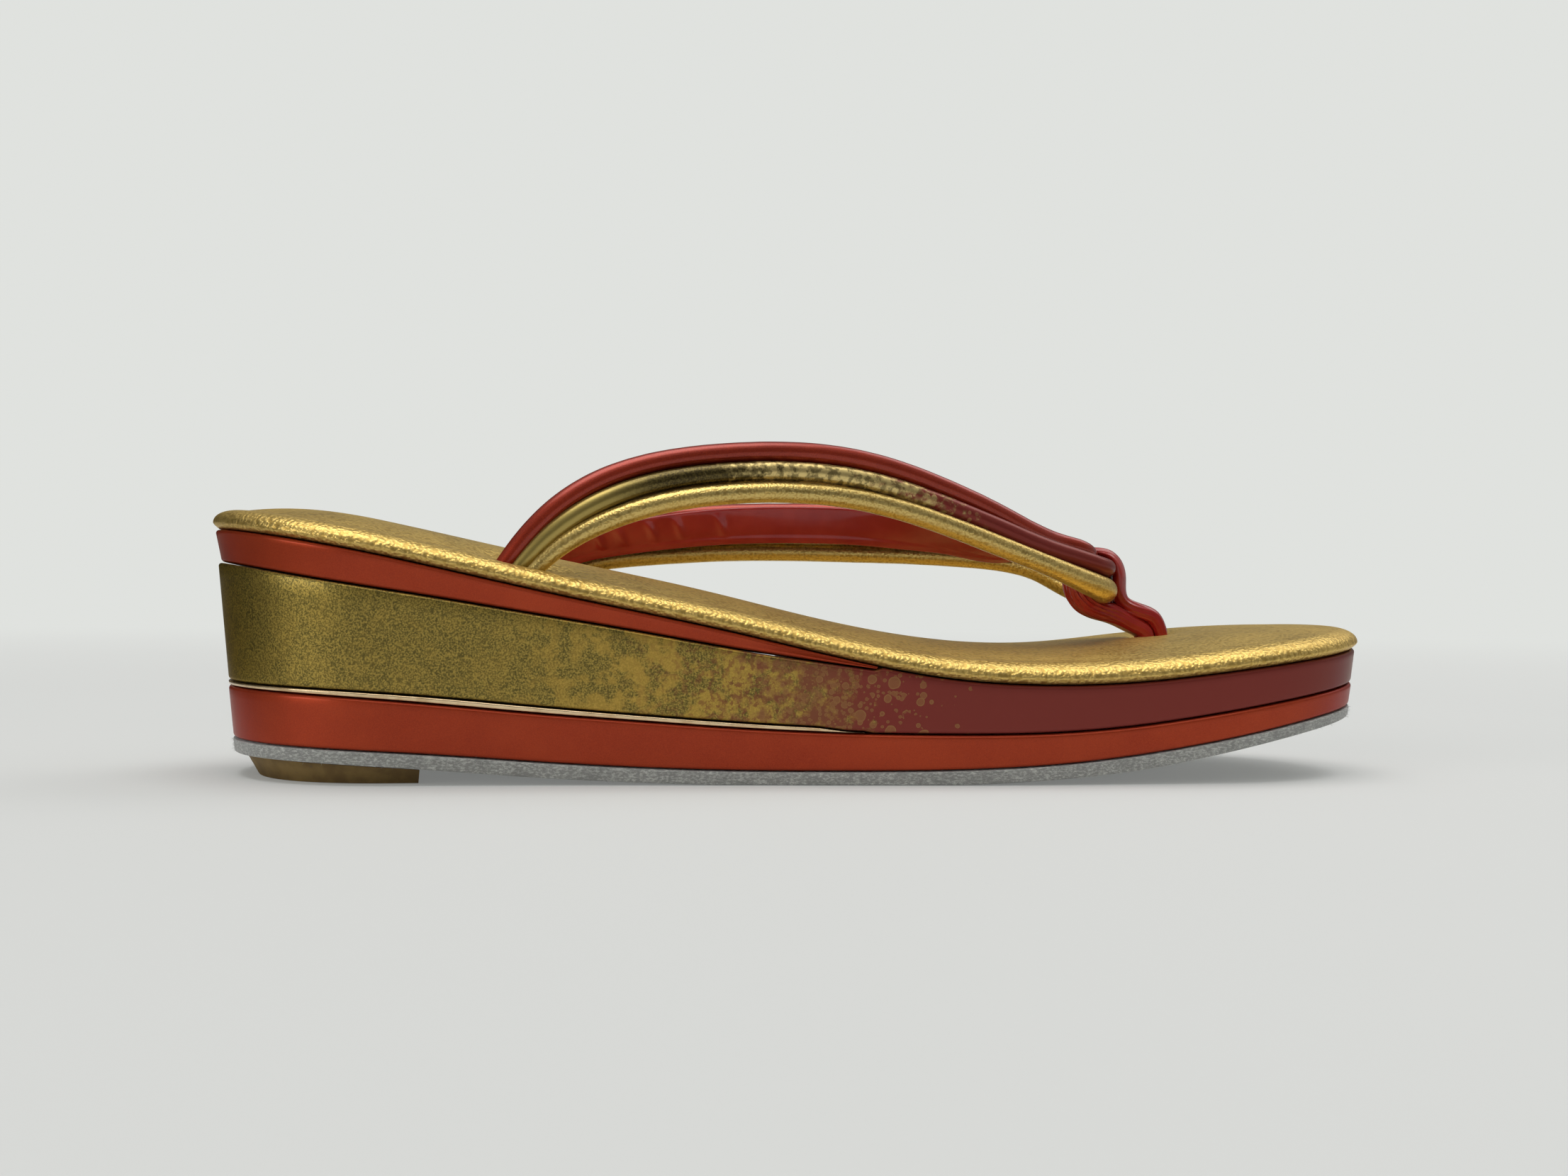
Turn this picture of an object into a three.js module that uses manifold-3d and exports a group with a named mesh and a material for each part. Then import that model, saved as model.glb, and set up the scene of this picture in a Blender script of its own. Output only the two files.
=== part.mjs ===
// A zori sandal: a wedge sole of five coloured layers under a padded insole, and a V-shaped strap
// of three padded rolls on a lining, held at the toe by a loop.
// Millimetres, +Z up. X runs from heel (-) to toe (+), Y across. The sandal stands on Z = 0 with
// the origin under the middle of its length. Tables give places as a distance from the heel end.

import * as THREE from 'three';
import { mergeVertices } from 'three/addons/utils/BufferGeometryUtils.js';
import Module from 'manifold-3d';

const wasm = await Module();
wasm.setup();

// Driving dimensions of the sole
const LENGTH = 240;
const BALL_HALF_WIDTH = 41;
const HEEL_HALF_WIDTH = 34.5;
const BALL_AT = 168;
const HEEL_AT = 48;
const TOE_ROUND = { length: 47, power: 2.25 };
const HEEL_ROUND = { length: 34, power: 2.2 };
const GAP = 0.3;
const LEDGE = 0.6;
const SIDE_TAPER = 0.09;
const EDGE_ROUND = 0.7;
const TOP_WEDGE_UNDERCUT = 0.5;
const TOP_WEDGE_END = 126;
const STRIP_END = 124;
const PLAN_STEPS = 34;
const STEP_WIDTH = 0.02;

// Driving dimensions of the insole cushion and the heel tap
const RIM_HEIGHT = 4.4;
const RIM_WIDTH = 6;
const DOME_POWER = 2.5;
const LIP = { height: 1.2, tuck: 1.2 };
const TAP = { to: 39.5, inset: 7, bevel: 2.4 };

// Driving dimensions of the strap and the toe loop
const ROLL_SIDES = 10;
const ROLL_STEPS = 30;
const ROLL_GAP = 0.36;
const LINING = { width: 8.4, wall: 1.1, gap: 0.55 };
const ANCHOR_DEPTH = 3.2;
const LOOP_SIDES = 12;
const LOOP_STEPS = 44;

// Heights of the sole's lines above the floor, one row per section.
// seam: under the cushion; crown: its rise over the seam; topWedge: under the top wedge;
// strip: thickness of the metallic strip; mid: over the bottom layer; soleTop, soleLow: outsole.
const PROFILE = [
  { at: 0, seam: 48.9, crown: 7.8, topWedge: 42.5, strip: 0.9, mid: 17.95, soleTop: 7.45, soleLow: 4.6 },
  { at: 20, seam: 45.6, crown: 7.8, topWedge: 38.9, strip: 1.1, mid: 17.05, soleTop: 6.85, soleLow: 4.15 },
  { at: 40, seam: 41.6, crown: 7.9, topWedge: 35.85, strip: 1.3, mid: 15.6, soleTop: 5.85, soleLow: 3.0 },
  { at: 60, seam: 37.25, crown: 8.0, topWedge: 32.65, strip: 1.3, mid: 13.8, soleTop: 4.45, soleLow: 1.5 },
  { at: 80, seam: 33.15, crown: 8.1, topWedge: 29.4, strip: 1.15, mid: 12.3, soleTop: 3.3, soleLow: 0.45 },
  { at: 100, seam: 28.95, crown: 8.1, topWedge: 25.95, strip: 1.05, mid: 10.95, soleTop: 2.7, soleLow: -0.1 },
  { at: 120, seam: 24.3, crown: 8.0, topWedge: 23.05, strip: 0.9, mid: 10.1, soleTop: 2.6, soleLow: -0.3 },
  { at: 140, seam: 20.6, crown: 7.9, topWedge: 20.6, strip: 0.6, mid: 9.8, soleTop: 2.8, soleLow: -0.1 },
  { at: 160, seam: 19.35, crown: 7.2, topWedge: 19.35, strip: 0, mid: 10.05, soleTop: 3.65, soleLow: 0.8 },
  { at: 180, seam: 20.05, crown: 6.6, topWedge: 20.05, strip: 0, mid: 11.6, soleTop: 5.75, soleLow: 2.85 },
  { at: 200, seam: 22.25, crown: 6.4, topWedge: 22.25, strip: 0, mid: 14.5, soleTop: 9.1, soleLow: 6.6 },
  { at: 220, seam: 24.6, crown: 6.4, topWedge: 24.6, strip: 0, mid: 17.5, soleTop: 12.7, soleLow: 10.4 },
  { at: 240, seam: 26.8, crown: 6.4, topWedge: 26.8, strip: 0, mid: 19.9, soleTop: 15.2, soleLow: 13.1 },
];

// The strap's middle roll from the anchor towards the toe, one row per section.
// out: distance from the middle plane; lowLean, highLean: slope across the band from the lower
// roll and to the upper roll, in degrees from level; roll: diameter of a roll.
const HIGH_SIDE = [
  { at: 55.6, out: 26.4, height: 38.2, lowLean: 88, highLean: 88, roll: 3.3 },
  { at: 60.3, out: 26.6, height: 44, lowLean: 86, highLean: 84, roll: 3.5 },
  { at: 67, out: 26.4, height: 49.9, lowLean: 80, highLean: 76, roll: 3.9 },
  { at: 80, out: 25.8, height: 56.5, lowLean: 74, highLean: 66, roll: 4.1 },
  { at: 95, out: 24.8, height: 59.7, lowLean: 70, highLean: 62, roll: 4.1 },
  { at: 111, out: 23.2, height: 60.7, lowLean: 70, highLean: 65, roll: 4.1 },
  { at: 128, out: 21, height: 59.4, lowLean: 70, highLean: 67, roll: 4.15 },
  { at: 143, out: 18.4, height: 55.7, lowLean: 66, highLean: 64, roll: 4.2 },
  { at: 157.5, out: 15.2, height: 50.9, lowLean: 63, highLean: 55, roll: 4.2 },
  { at: 171, out: 11.8, height: 46.3, lowLean: 60, highLean: 40, roll: 4.2 },
];
const LOW_SIDE = [
  { at: 68.4, out: 26.4, height: 37.4, lowLean: 86, highLean: 86, roll: 3.3 },
  { at: 72.4, out: 26.5, height: 42, lowLean: 80, highLean: 80, roll: 3.5 },
  { at: 78.4, out: 26, height: 45.5, lowLean: 68, highLean: 66, roll: 3.8 },
  { at: 86, out: 25.4, height: 47.5, lowLean: 62, highLean: 62, roll: 4 },
  { at: 95, out: 24.7, height: 48.6, lowLean: 63, highLean: 66, roll: 4.1 },
  { at: 108, out: 23.6, height: 49.6, lowLean: 67, highLean: 73, roll: 4.1 },
  { at: 128, out: 21, height: 50, lowLean: 69, highLean: 76, roll: 4.15 },
  { at: 143, out: 18.4, height: 49.7, lowLean: 66, highLean: 70, roll: 4.2 },
  { at: 157.5, out: 15.2, height: 48.9, lowLean: 58, highLean: 50, roll: 4.2 },
  { at: 171, out: 11.8, height: 47.5, lowLean: 54, highLean: 36, roll: 4.2 },
];

// Where each roll and the lining turn round the tip of the V: beside the tip, at its corner and
// at its front, on the high side. The low side mirrors them, beside the tip and at its corner as
// much higher as LOW_SIDE_LIFT says.
const LOW_SIDE_LIFT = [2, 0.3];
const TIP = {
  gold: [
    { at: 179, out: 11.2, height: 39.8, roll: 4.9 },
    { at: 185.2, out: 7.4, height: 37.9, roll: 5.4 },
    { at: 187.2, out: 0, height: 37.7, roll: 5.4 },
  ],
  bronze: [
    { at: 179.2, out: 9.5, height: 44.3, roll: 3.9 },
    { at: 186, out: 6.4, height: 42.7, roll: 3.6 },
    { at: 188.2, out: 0, height: 42.7, roll: 3.5 },
  ],
  red: [
    { at: 177, out: 6.4, height: 47.5, roll: 3.7 },
    { at: 182.4, out: 5.1, height: 46.1, roll: 3.4 },
    { at: 185.1, out: 0, height: 44.5, roll: 2.8 },
  ],
  lining: [
    { at: 175, out: 7.2, height: 43.4, lean: 30, width: 5 },
    { at: 180.2, out: 5.4, height: 41.4, lean: 14, width: 4 },
    { at: 182.6, out: 0, height: 40.8, lean: 10, width: 3.4 },
  ],
};

// The toe loop in the middle plane, from the front of the toe hole over the tip of the V, down
// through its crotch, under it and back into the hole. wide runs along Y.
const LOOP = [
  { at: 201.7, height: 25.4, wide: 6, thick: 2.7 },
  { at: 201.8, height: 28.4, wide: 6.2, thick: 2.9 },
  { at: 201.1, height: 31, wide: 6.4, thick: 3.2 },
  { at: 198.9, height: 32.8, wide: 6.6, thick: 3.5 },
  { at: 195.8, height: 34.2, wide: 6.6, thick: 3.5 },
  { at: 193.2, height: 36, wide: 6.6, thick: 2.7 },
  { at: 192, height: 38.6, wide: 7, thick: 2.2 },
  { at: 191.9, height: 41.2, wide: 7.6, thick: 2 },
  { at: 191.5, height: 44, wide: 7.8, thick: 1.8 },
  { at: 189.6, height: 46.5, wide: 7.8, thick: 1.7 },
  { at: 186.4, height: 47.6, wide: 7.2, thick: 1.3 },
  { at: 183, height: 47.4, wide: 5.4, thick: 1.3 },
  { at: 180, height: 45.4, wide: 5, thick: 1.6 },
  { at: 178.6, height: 42, wide: 5.4, thick: 1.9 },
  { at: 179.2, height: 38.8, wide: 6.2, thick: 2.8 },
  { at: 181.8, height: 36, wide: 7.6, thick: 3.4 },
  { at: 185.2, height: 33.7, wide: 8, thick: 2.6 },
  { at: 188.6, height: 32.6, wide: 7.4, thick: 2.2 },
  { at: 191.8, height: 31.2, wide: 6.6, thick: 2.7 },
  { at: 195, height: 29.8, wide: 6.2, thick: 2.7 },
  { at: 197.2, height: 27.6, wide: 6, thick: 2.7 },
  { at: 197.4, height: 25.4, wide: 6, thick: 2.7 },
];

const FINISHES = {
  gold: { color: 0xb08a3c, roughness: 0.38, metalness: 0.55 },
  red: { color: 0xa3261b, roughness: 0.28, metalness: 0.2 },
  wedge: { color: 0x7d6230, roughness: 0.42, metalness: 0.5 },
  champagne: { color: 0xd8bd7c, roughness: 0.3, metalness: 0.8 },
  bronze: { color: 0x6e5626, roughness: 0.42, metalness: 0.5 },
  suede: { color: 0x6b7174, roughness: 0.95, metalness: 0 },
  tap: { color: 0x8a7440, roughness: 0.6, metalness: 0.3 },
};

// A smooth curve through values at rising knots, with no bend at its ends
function spline(knots, values) {
  const last = knots.length - 1;
  const bend = new Array(knots.length).fill(0);
  const work = new Array(knots.length).fill(0);
  for (let i = 1; i < last; i += 1) {
    const before = knots[i] - knots[i - 1];
    const after = knots[i + 1] - knots[i];
    const pivot = 2 * (before + after) - before * work[i - 1];
    const slopes = (values[i + 1] - values[i]) / after - (values[i] - values[i - 1]) / before;
    work[i] = after / pivot;
    bend[i] = (6 * slopes - before * bend[i - 1]) / pivot;
  }
  for (let i = last - 1; i > 0; i -= 1) {
    bend[i] -= work[i] * bend[i + 1];
  }
  return (x) => {
    const at = THREE.MathUtils.clamp(x, knots[0], knots[last]);
    let i = 0;
    while (i < last - 1 && at > knots[i + 1]) {
      i += 1;
    }
    const step = knots[i + 1] - knots[i];
    const a = (knots[i + 1] - at) / step;
    const b = 1 - a;
    const curved = (a ** 3 - a) * bend[i] + (b ** 3 - b) * bend[i + 1];
    return a * values[i] + b * values[i + 1] + (curved * step * step) / 6;
  };
}

// Every named column of a table as a smooth function of its knots
function columns(rows, knots) {
  const found = {};
  for (const name of Object.keys(rows[0])) {
    found[name] = spline(knots, rows.map((row) => row[name]));
  }
  return found;
}

const profile = columns(PROFILE, PROFILE.map((row) => row.at));

// Half the width of the sole's plan at a distance from the heel end
function halfWidth(at) {
  const u = THREE.MathUtils.smoothstep(at, HEEL_AT, BALL_AT);
  const width = HEEL_HALF_WIDTH + (BALL_HALF_WIDTH - HEEL_HALF_WIDTH) * u;
  const roundOff = (from, round) => {
    const past = Math.min(Math.max(1 - from / round.length, 0), 1);
    return (1 - past ** round.power) ** (1 / round.power);
  };
  return width * roundOff(at, HEEL_ROUND) * roundOff(LENGTH - at, TOE_ROUND);
}

// Points of the plan from the heel end to `end`, with the way out of the plan at each one.
// They lie on the -Y side and are mirrored for the other side. steps are places where a face
// of the layer changes height.
function planPoints(end, steps = []) {
  const turn = (at) => Math.acos(1 - (2 * at) / LENGTH) / Math.PI;
  const place = (u) => {
    const at = (LENGTH * (1 - Math.cos(Math.PI * u))) / 2;
    return new THREE.Vector2(at, -halfWidth(at));
  };
  const count = Math.round(PLAN_STEPS * turn(end));
  const turns = Array.from({ length: count + 1 }, (_, i) => (turn(end) * i) / count);
  for (const step of steps) {
    turns.push(turn(step - STEP_WIDTH / 2), turn(step + STEP_WIDTH / 2));
  }
  turns.sort((a, b) => a - b);
  const delta = 1e-4;
  return turns.map((u) => {
    const along = place(Math.min(u + delta, 1)).sub(place(Math.max(u - delta, 0))).normalize();
    const out = new THREE.Vector2(along.y, -along.x);
    if (u < delta) {
      out.set(-1, 0);
    }
    if (u > 1 - delta) {
      out.set(1, 0);
    }
    return { point: place(u), out };
  });
}

// A ring of 3-D points round the plan, set in from its edge. inset and height are functions of
// the distance from the heel end, before and after the point is set in, so that a step in a face
// stays whole. toAxis moves the ring towards the middle line as well.
function planRing(plan, end, inset, height, toAxis = 0) {
  const near = plan.map(({ point, out }) => {
    const set = point.clone().addScaledVector(out, -inset(point.x, point.x));
    if (end < LENGTH) {
      set.x = Math.min(set.x, end);
    }
    const axis = THREE.MathUtils.clamp(point.x, HEEL_ROUND.length, LENGTH - TOE_ROUND.length);
    set.lerp(new THREE.Vector2(axis, 0), toAxis);
    return new THREE.Vector3(set.x - LENGTH / 2, set.y, height(set.x, point.x));
  });
  const far = near.map((p) => new THREE.Vector3(p.x, -p.y, p.z));
  return { near, far };
}

// A closed solid from rings that share a plan, bottom ring first, closed above and below by
// strips straight across
function slabGeometry(rings, closedToe) {
  const last = rings[0].near.length - 1;
  const vertices = [];
  const rows = rings.map(({ near, far }) => {
    const order = [...near];
    for (let i = last - (closedToe ? 1 : 0); i > 0; i -= 1) {
      order.push(far[i]);
    }
    return order.map((p) => vertices.push(p) - 1);
  });
  const faces = [];
  const around = rows[0].length;
  for (let r = 0; r + 1 < rows.length; r += 1) {
    for (let i = 0; i < around; i += 1) {
      const j = (i + 1) % around;
      faces.push([rows[r][i], rows[r][j], rows[r + 1][j]]);
      faces.push([rows[r][i], rows[r + 1][j], rows[r + 1][i]]);
    }
  }
  const across = (i) => (i === 0 || (closedToe && i === last) ? i : around - i);
  for (let i = 0; i < last; i += 1) {
    for (const [row, up] of [[rows[0], false], [rows[rows.length - 1], true]]) {
      const quad = [row[i], row[i + 1], row[across(i + 1)], row[across(i)]];
      const cut = [[quad[0], quad[1], quad[2]], [quad[0], quad[2], quad[3]]];
      for (const face of cut.filter((f) => new Set(f).size === 3)) {
        faces.push(up ? face : [face[0], face[2], face[1]]);
      }
    }
  }
  return geometryFrom(vertices, faces);
}

function geometryFrom(vertices, faces) {
  const geometry = new THREE.BufferGeometry();
  const numbers = vertices.flatMap((p) => [p.x, p.y, p.z]);
  geometry.setAttribute('position', new THREE.Float32BufferAttribute(numbers, 3));
  geometry.setIndex(faces.flat());
  geometry.computeVertexNormals();
  return geometry;
}

function solidFrom(geometry) {
  const bare = geometry.clone();
  bare.deleteAttribute('normal');
  const merged = mergeVertices(bare, 1e-4);
  const vertProperties = new Float32Array(merged.attributes.position.array);
  const triVerts = new Uint32Array(merged.index.array);
  return new wasm.Manifold(new wasm.Mesh({ numProp: 3, vertProperties, triVerts }));
}

function geometryOf(solid) {
  const mesh = solid.getMesh();
  const geometry = new THREE.BufferGeometry();
  geometry.setAttribute('position', new THREE.Float32BufferAttribute(mesh.vertProperties, 3));
  geometry.setIndex([...mesh.triVerts]);
  geometry.computeVertexNormals();
  return geometry;
}

// One layer of the sole between two lines of the profile, its sides leaning in downwards and
// its edges rounded off
function layer(low, high, { end = LENGTH, undercut = 0, steps = [] } = {}) {
  const plan = planPoints(end, steps);
  const bottom = (at, from) => low(at, from) + GAP / 2;
  const top = (at, from) => high(at, from) - GAP / 2;
  const edge = (at, from) => Math.min(EDGE_ROUND, (top(at, from) - bottom(at, from)) / 3);
  const ring = (face, way, more, turn) => {
    const angle = (turn * Math.PI) / 2;
    const lean = (at, from) => LEDGE + (profile.seam(at) - face(at, from)) * SIDE_TAPER;
    const inset = (at, from) => lean(at, from) + more + edge(at, from) * (1 - Math.sin(angle));
    const height = (at, from) => face(at, from) + way * edge(at, from) * (1 - Math.cos(angle));
    return planRing(plan, end, inset, height);
  };
  const lower = [0, 0.5, 1].map((turn) => ring(bottom, 1, undercut, turn));
  const upper = [1, 0.5, 0].map((turn) => ring(top, -1, 0, turn));
  return slabGeometry([...lower, ...upper], end === LENGTH);
}

function topWedge() {
  return layer(profile.topWedge, profile.seam, { end: TOP_WEDGE_END, undercut: TOP_WEDGE_UNDERCUT });
}

// The main wedge reaches the cushion in front of the top wedge and the bottom layer in front of
// the strip, so its faces step there
function mainWedge() {
  const steps = [STRIP_END + GAP, TOP_WEDGE_END + GAP];
  const high = (at, from) => (from > steps[1] ? profile.seam(at) : profile.topWedge(at));
  const low = (at, from) => profile.mid(at) + (from > steps[0] ? 0 : profile.strip(at));
  return layer(low, high, { steps });
}

function goldStrip() {
  return layer(profile.mid, (at) => profile.mid(at) + profile.strip(at), { end: STRIP_END });
}

function bottomLayer() {
  return layer(profile.soleTop, profile.mid);
}

function outsole() {
  const low = (at) => Math.max(profile.soleLow(at), 0) - GAP / 2;
  return layer(low, profile.soleTop);
}

// The cushion's upper face over the seam, set in by `inset` from its edge
function cushionRise(at, inset, toAxis) {
  const rim = Math.min(inset / RIM_WIDTH, 1);
  const dome = 1 - (1 - toAxis) ** DOME_POWER;
  return RIM_HEIGHT * Math.sqrt(1 - (1 - rim) ** 2) + (profile.crown(at) - RIM_HEIGHT) * dome;
}

// Height of the cushion's upper face at a place in plan
function cushionTop(at, y) {
  const inset = Math.max(halfWidth(at) - Math.abs(y), 0);
  return profile.seam(at) + cushionRise(at, inset, inset / halfWidth(at));
}

// The cushion: its cover tucks in under a lip, stands up over the lip, rounds over the rim and
// rises in a dome to the middle line
function cushionBody() {
  const plan = planPoints(LENGTH);
  const base = (at) => profile.seam(at) + GAP / 2;
  const lipTop = (at) => profile.seam(at) + LIP.height;
  const ring = (inset, height, toAxis) => planRing(plan, LENGTH, () => inset, height, toAxis);
  const rings = [ring(LIP.tuck, base), ring(LIP.tuck / 6, (at) => (base(at) + lipTop(at)) / 2)];
  for (const share of [0, 0.06, 0.2, 0.42, 0.7, 1]) {
    const inset = RIM_WIDTH * share;
    const rise = (at) => cushionRise(at, inset, 0) * (1 - LIP.height / RIM_HEIGHT);
    rings.push(ring(inset, (at) => lipTop(at) + rise(at)));
  }
  for (const toAxis of [0.12, 0.3, 0.55, 0.85]) {
    const rise = (at) => cushionRise(at, RIM_WIDTH, toAxis);
    rings.push(ring(RIM_WIDTH, (at) => profile.seam(at) + rise(at), toAxis));
  }
  return slabGeometry(rings, true);
}

// A tube through centre points, each with its own ring of offsets, capped at both ends
function sweep(centres, ringAt) {
  const vertices = [];
  const faces = [];
  const rings = centres.map((centre, i) => ringAt(i).map((offset) => vertices.push(offset.add(centre)) - 1));
  const sides = rings[0].length;
  for (let r = 0; r + 1 < rings.length; r += 1) {
    for (let i = 0; i < sides; i += 1) {
      const j = (i + 1) % sides;
      faces.push([rings[r][i], rings[r][j], rings[r + 1][j]]);
      faces.push([rings[r][i], rings[r + 1][j], rings[r + 1][i]]);
    }
  }
  const end = rings[rings.length - 1];
  for (let i = 1; i + 1 < sides; i += 1) {
    faces.push([rings[0][0], rings[0][i + 1], rings[0][i]]);
    faces.push([end[0], end[i], end[i + 1]]);
  }
  return geometryFrom(vertices, faces);
}

// Even steps along a table of places, every column carried along
function walk(rows, steps) {
  const place = (row) => new THREE.Vector3(row.x, row.y, row.z);
  const knots = [0];
  for (let i = 1; i < rows.length; i += 1) {
    knots.push(knots[i - 1] + place(rows[i]).distanceTo(place(rows[i - 1])));
  }
  const found = columns(rows, knots);
  const total = knots[knots.length - 1];
  return Array.from({ length: steps + 1 }, (_, i) => {
    const stop = {};
    for (const name of Object.keys(found)) {
      stop[name] = found[name]((total * i) / steps);
    }
    return stop;
  });
}

// The ways along, inboard and up at each stop of a walk
function frames(stops) {
  const place = (stop) => new THREE.Vector3(stop.x, stop.y, stop.z);
  return stops.map((stop, i) => {
    const before = place(stops[Math.max(i - 1, 0)]);
    const after = place(stops[Math.min(i + 1, stops.length - 1)]);
    const along = after.sub(before).normalize();
    const inboard = new THREE.Vector3(0, 0, 1).cross(along).normalize();
    const up = along.clone().cross(inboard);
    return { along, inboard, up };
  });
}

function leaning(frame, degrees) {
  const angle = THREE.MathUtils.degToRad(degrees);
  const level = frame.inboard.clone().multiplyScalar(Math.cos(angle));
  return level.addScaledVector(frame.up, Math.sin(angle));
}

// A table's rows as places, its other columns kept. side is -1 for the high side, 1 for the low.
function placed(table, side) {
  return table.map(({ at, out = 0, height, ...rest }) => {
    return { x: at - LENGTH / 2, y: side * out, z: height, ...rest };
  });
}

// One side of the strap as four rows of places: the three rolls and the lining under the upper two
function strapSide(table, side) {
  const rows = placed(table, side);
  const stops = walk(side < 0 ? rows : rows.reverse(), ROLL_STEPS);
  const ways = frames(stops);
  const lanes = { gold: [], bronze: [], red: [], lining: [] };
  stops.forEach((stop, i) => {
    const pitch = stop.roll + ROLL_GAP;
    const low = leaning(ways[i], stop.lowLean);
    const high = leaning(ways[i], stop.highLean);
    const inner = high.clone().cross(ways[i].along);
    const middle = new THREE.Vector3(stop.x, stop.y, stop.z);
    const add = (lane, point, more) => lanes[lane].push({ x: point.x, y: point.y, z: point.z, ...more });
    add('bronze', middle, { roll: stop.roll });
    add('gold', middle.clone().addScaledVector(low, -pitch), { roll: stop.roll });
    add('red', middle.clone().addScaledVector(high, pitch), { roll: stop.roll });
    const under = stop.roll / 2 + LINING.gap + LINING.wall / 2;
    const lining = middle.clone().addScaledVector(high, pitch / 2).addScaledVector(inner, under);
    add('lining', lining, { lean: stop.highLean, width: LINING.width });
  });
  return lanes;
}

// A lane all the way round the V, from anchor to anchor
function strapLane(lane, high, low) {
  const turn = placed(TIP[lane], -1);
  const lifted = LOW_SIDE_LIFT.map((lift, i) => {
    return { ...TIP[lane][i], height: TIP[lane][i].height + lift };
  });
  const back = placed(lifted, 1).reverse();
  const thin = (rows) => rows.filter((_, i) => i % 3 === 0);
  return [...thin(high[lane]), ...turn, ...back, ...thin(low[lane])];
}

// Stops along a lane, without what lies deeper than the anchors' depth under the cushion's top
function strapStops(rows) {
  const depth = (stop) => cushionTop(stop.x + LENGTH / 2, stop.y) - stop.z;
  return walk(rows, 2 * ROLL_STEPS).filter((stop) => depth(stop) < ANCHOR_DEPTH);
}

// The centres of stops, the first and last moved out along the path by `extra`
function centresOf(stops, ways, extra) {
  const centres = stops.map((stop) => new THREE.Vector3(stop.x, stop.y, stop.z));
  centres[0].addScaledVector(ways[0].along, -extra);
  centres[centres.length - 1].addScaledVector(ways[ways.length - 1].along, extra);
  return centres;
}

function rollGeometry(rows, extra = 0) {
  const stops = strapStops(rows);
  const ways = frames(stops);
  return sweep(centresOf(stops, ways, extra), (i) => Array.from({ length: ROLL_SIDES }, (_, k) => {
    const angle = (2 * Math.PI * k) / ROLL_SIDES;
    const radius = stops[i].roll / 2 + extra;
    return ways[i].inboard.clone().multiplyScalar(radius * Math.cos(angle))
      .addScaledVector(ways[i].up, radius * Math.sin(angle));
  }));
}

function liningGeometry(rows, extra = 0) {
  const stops = strapStops(rows);
  const ways = frames(stops);
  const quarter = [[-1, -0.5], [-0.94, -1], [0.94, -1], [1, -0.5]];
  const corners = [...quarter, ...quarter.map(([a, b]) => [-a, -b])];
  return sweep(centresOf(stops, ways, extra), (i) => corners.map(([a, b]) => {
    const across = leaning(ways[i], stops[i].lean);
    const outer = ways[i].along.clone().cross(across);
    return across.multiplyScalar(a * (stops[i].width / 2 + extra))
      .addScaledVector(outer, b * (LINING.wall / 2 + extra));
  }));
}

function loopGeometry(extra = 0) {
  const stops = walk(placed(LOOP, 1), LOOP_STEPS);
  const across = new THREE.Vector3(0, 1, 0);
  const centres = centresOf(stops, frames(stops), extra);
  return sweep(centres, (i) => {
    const before = centres[Math.max(i - 1, 0)];
    const after = centres[Math.min(i + 1, centres.length - 1)];
    const outer = after.clone().sub(before).normalize().cross(across);
    return Array.from({ length: LOOP_SIDES }, (_, k) => {
      const angle = (2 * Math.PI * (k + 0.5)) / LOOP_SIDES;
      const squared = (v) => Math.sign(v) * Math.abs(v) ** 0.6;
      return across.clone().multiplyScalar((stops[i].wide / 2 + extra) * squared(Math.cos(angle)))
        .addScaledVector(outer, (stops[i].thick / 2 + extra) * squared(Math.sin(angle)));
    });
  });
}

// The tap under the heel: the heel's plan set in, straight in front, bevelled down to the floor
function heelTap() {
  const plan = planPoints(TAP.to);
  const top = (at) => profile.soleLow(at) - GAP;
  const foot = planRing(plan, TAP.to, () => TAP.inset + TAP.bevel, () => 0);
  return slabGeometry([foot, planRing(plan, TAP.to, () => TAP.inset, top)], false);
}

const highSide = strapSide(HIGH_SIDE, -1);
const lowSide = strapSide(LOW_SIDE, 1);
const lanes = {};
for (const lane of Object.keys(TIP)) {
  lanes[lane] = strapLane(lane, highSide, lowSide);
}

// The cushion is cut clear of everything that enters it
function insoleCushion() {
  let solid = solidFrom(cushionBody());
  for (const lane of ['gold', 'bronze', 'red']) {
    solid = solid.subtract(solidFrom(rollGeometry(lanes[lane], GAP)));
  }
  solid = solid.subtract(solidFrom(liningGeometry(lanes.lining, GAP)));
  solid = solid.subtract(solidFrom(loopGeometry(GAP)));
  return geometryOf(solid);
}

const group = new THREE.Group();
const PIECES = [
  ['insole_cushion', insoleCushion(), FINISHES.gold],
  ['top_wedge', topWedge(), FINISHES.red],
  ['main_wedge', mainWedge(), FINISHES.wedge],
  ['gold_strip', goldStrip(), FINISHES.champagne],
  ['bottom_layer', bottomLayer(), FINISHES.red],
  ['outsole', outsole(), FINISHES.suede],
  ['heel_tap', heelTap(), FINISHES.tap],
  ['strap_lining', liningGeometry(lanes.lining), FINISHES.red],
  ['red_roll', rollGeometry(lanes.red), FINISHES.red],
  ['bronze_roll', rollGeometry(lanes.bronze), FINISHES.bronze],
  ['gold_roll', rollGeometry(lanes.gold), FINISHES.gold],
  ['toe_loop', loopGeometry(), FINISHES.red],
];
for (const [name, geometry, finish] of PIECES) {
  const mesh = new THREE.Mesh(geometry, new THREE.MeshStandardMaterial(finish));
  mesh.name = name;
  group.add(mesh);
}

export default group;
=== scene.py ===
"""A zori sandal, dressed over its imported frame.

Lengths in tables are in millimetres. Places along the sole are distances from the heel end, and
places across it are distances from the middle plane, so that the high side of the strap is at
negative Y. MM turns them into the scene's metres.
"""

import logging
import math
from collections.abc import Callable, Sequence
from dataclasses import dataclass, field
from enum import Enum

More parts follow.
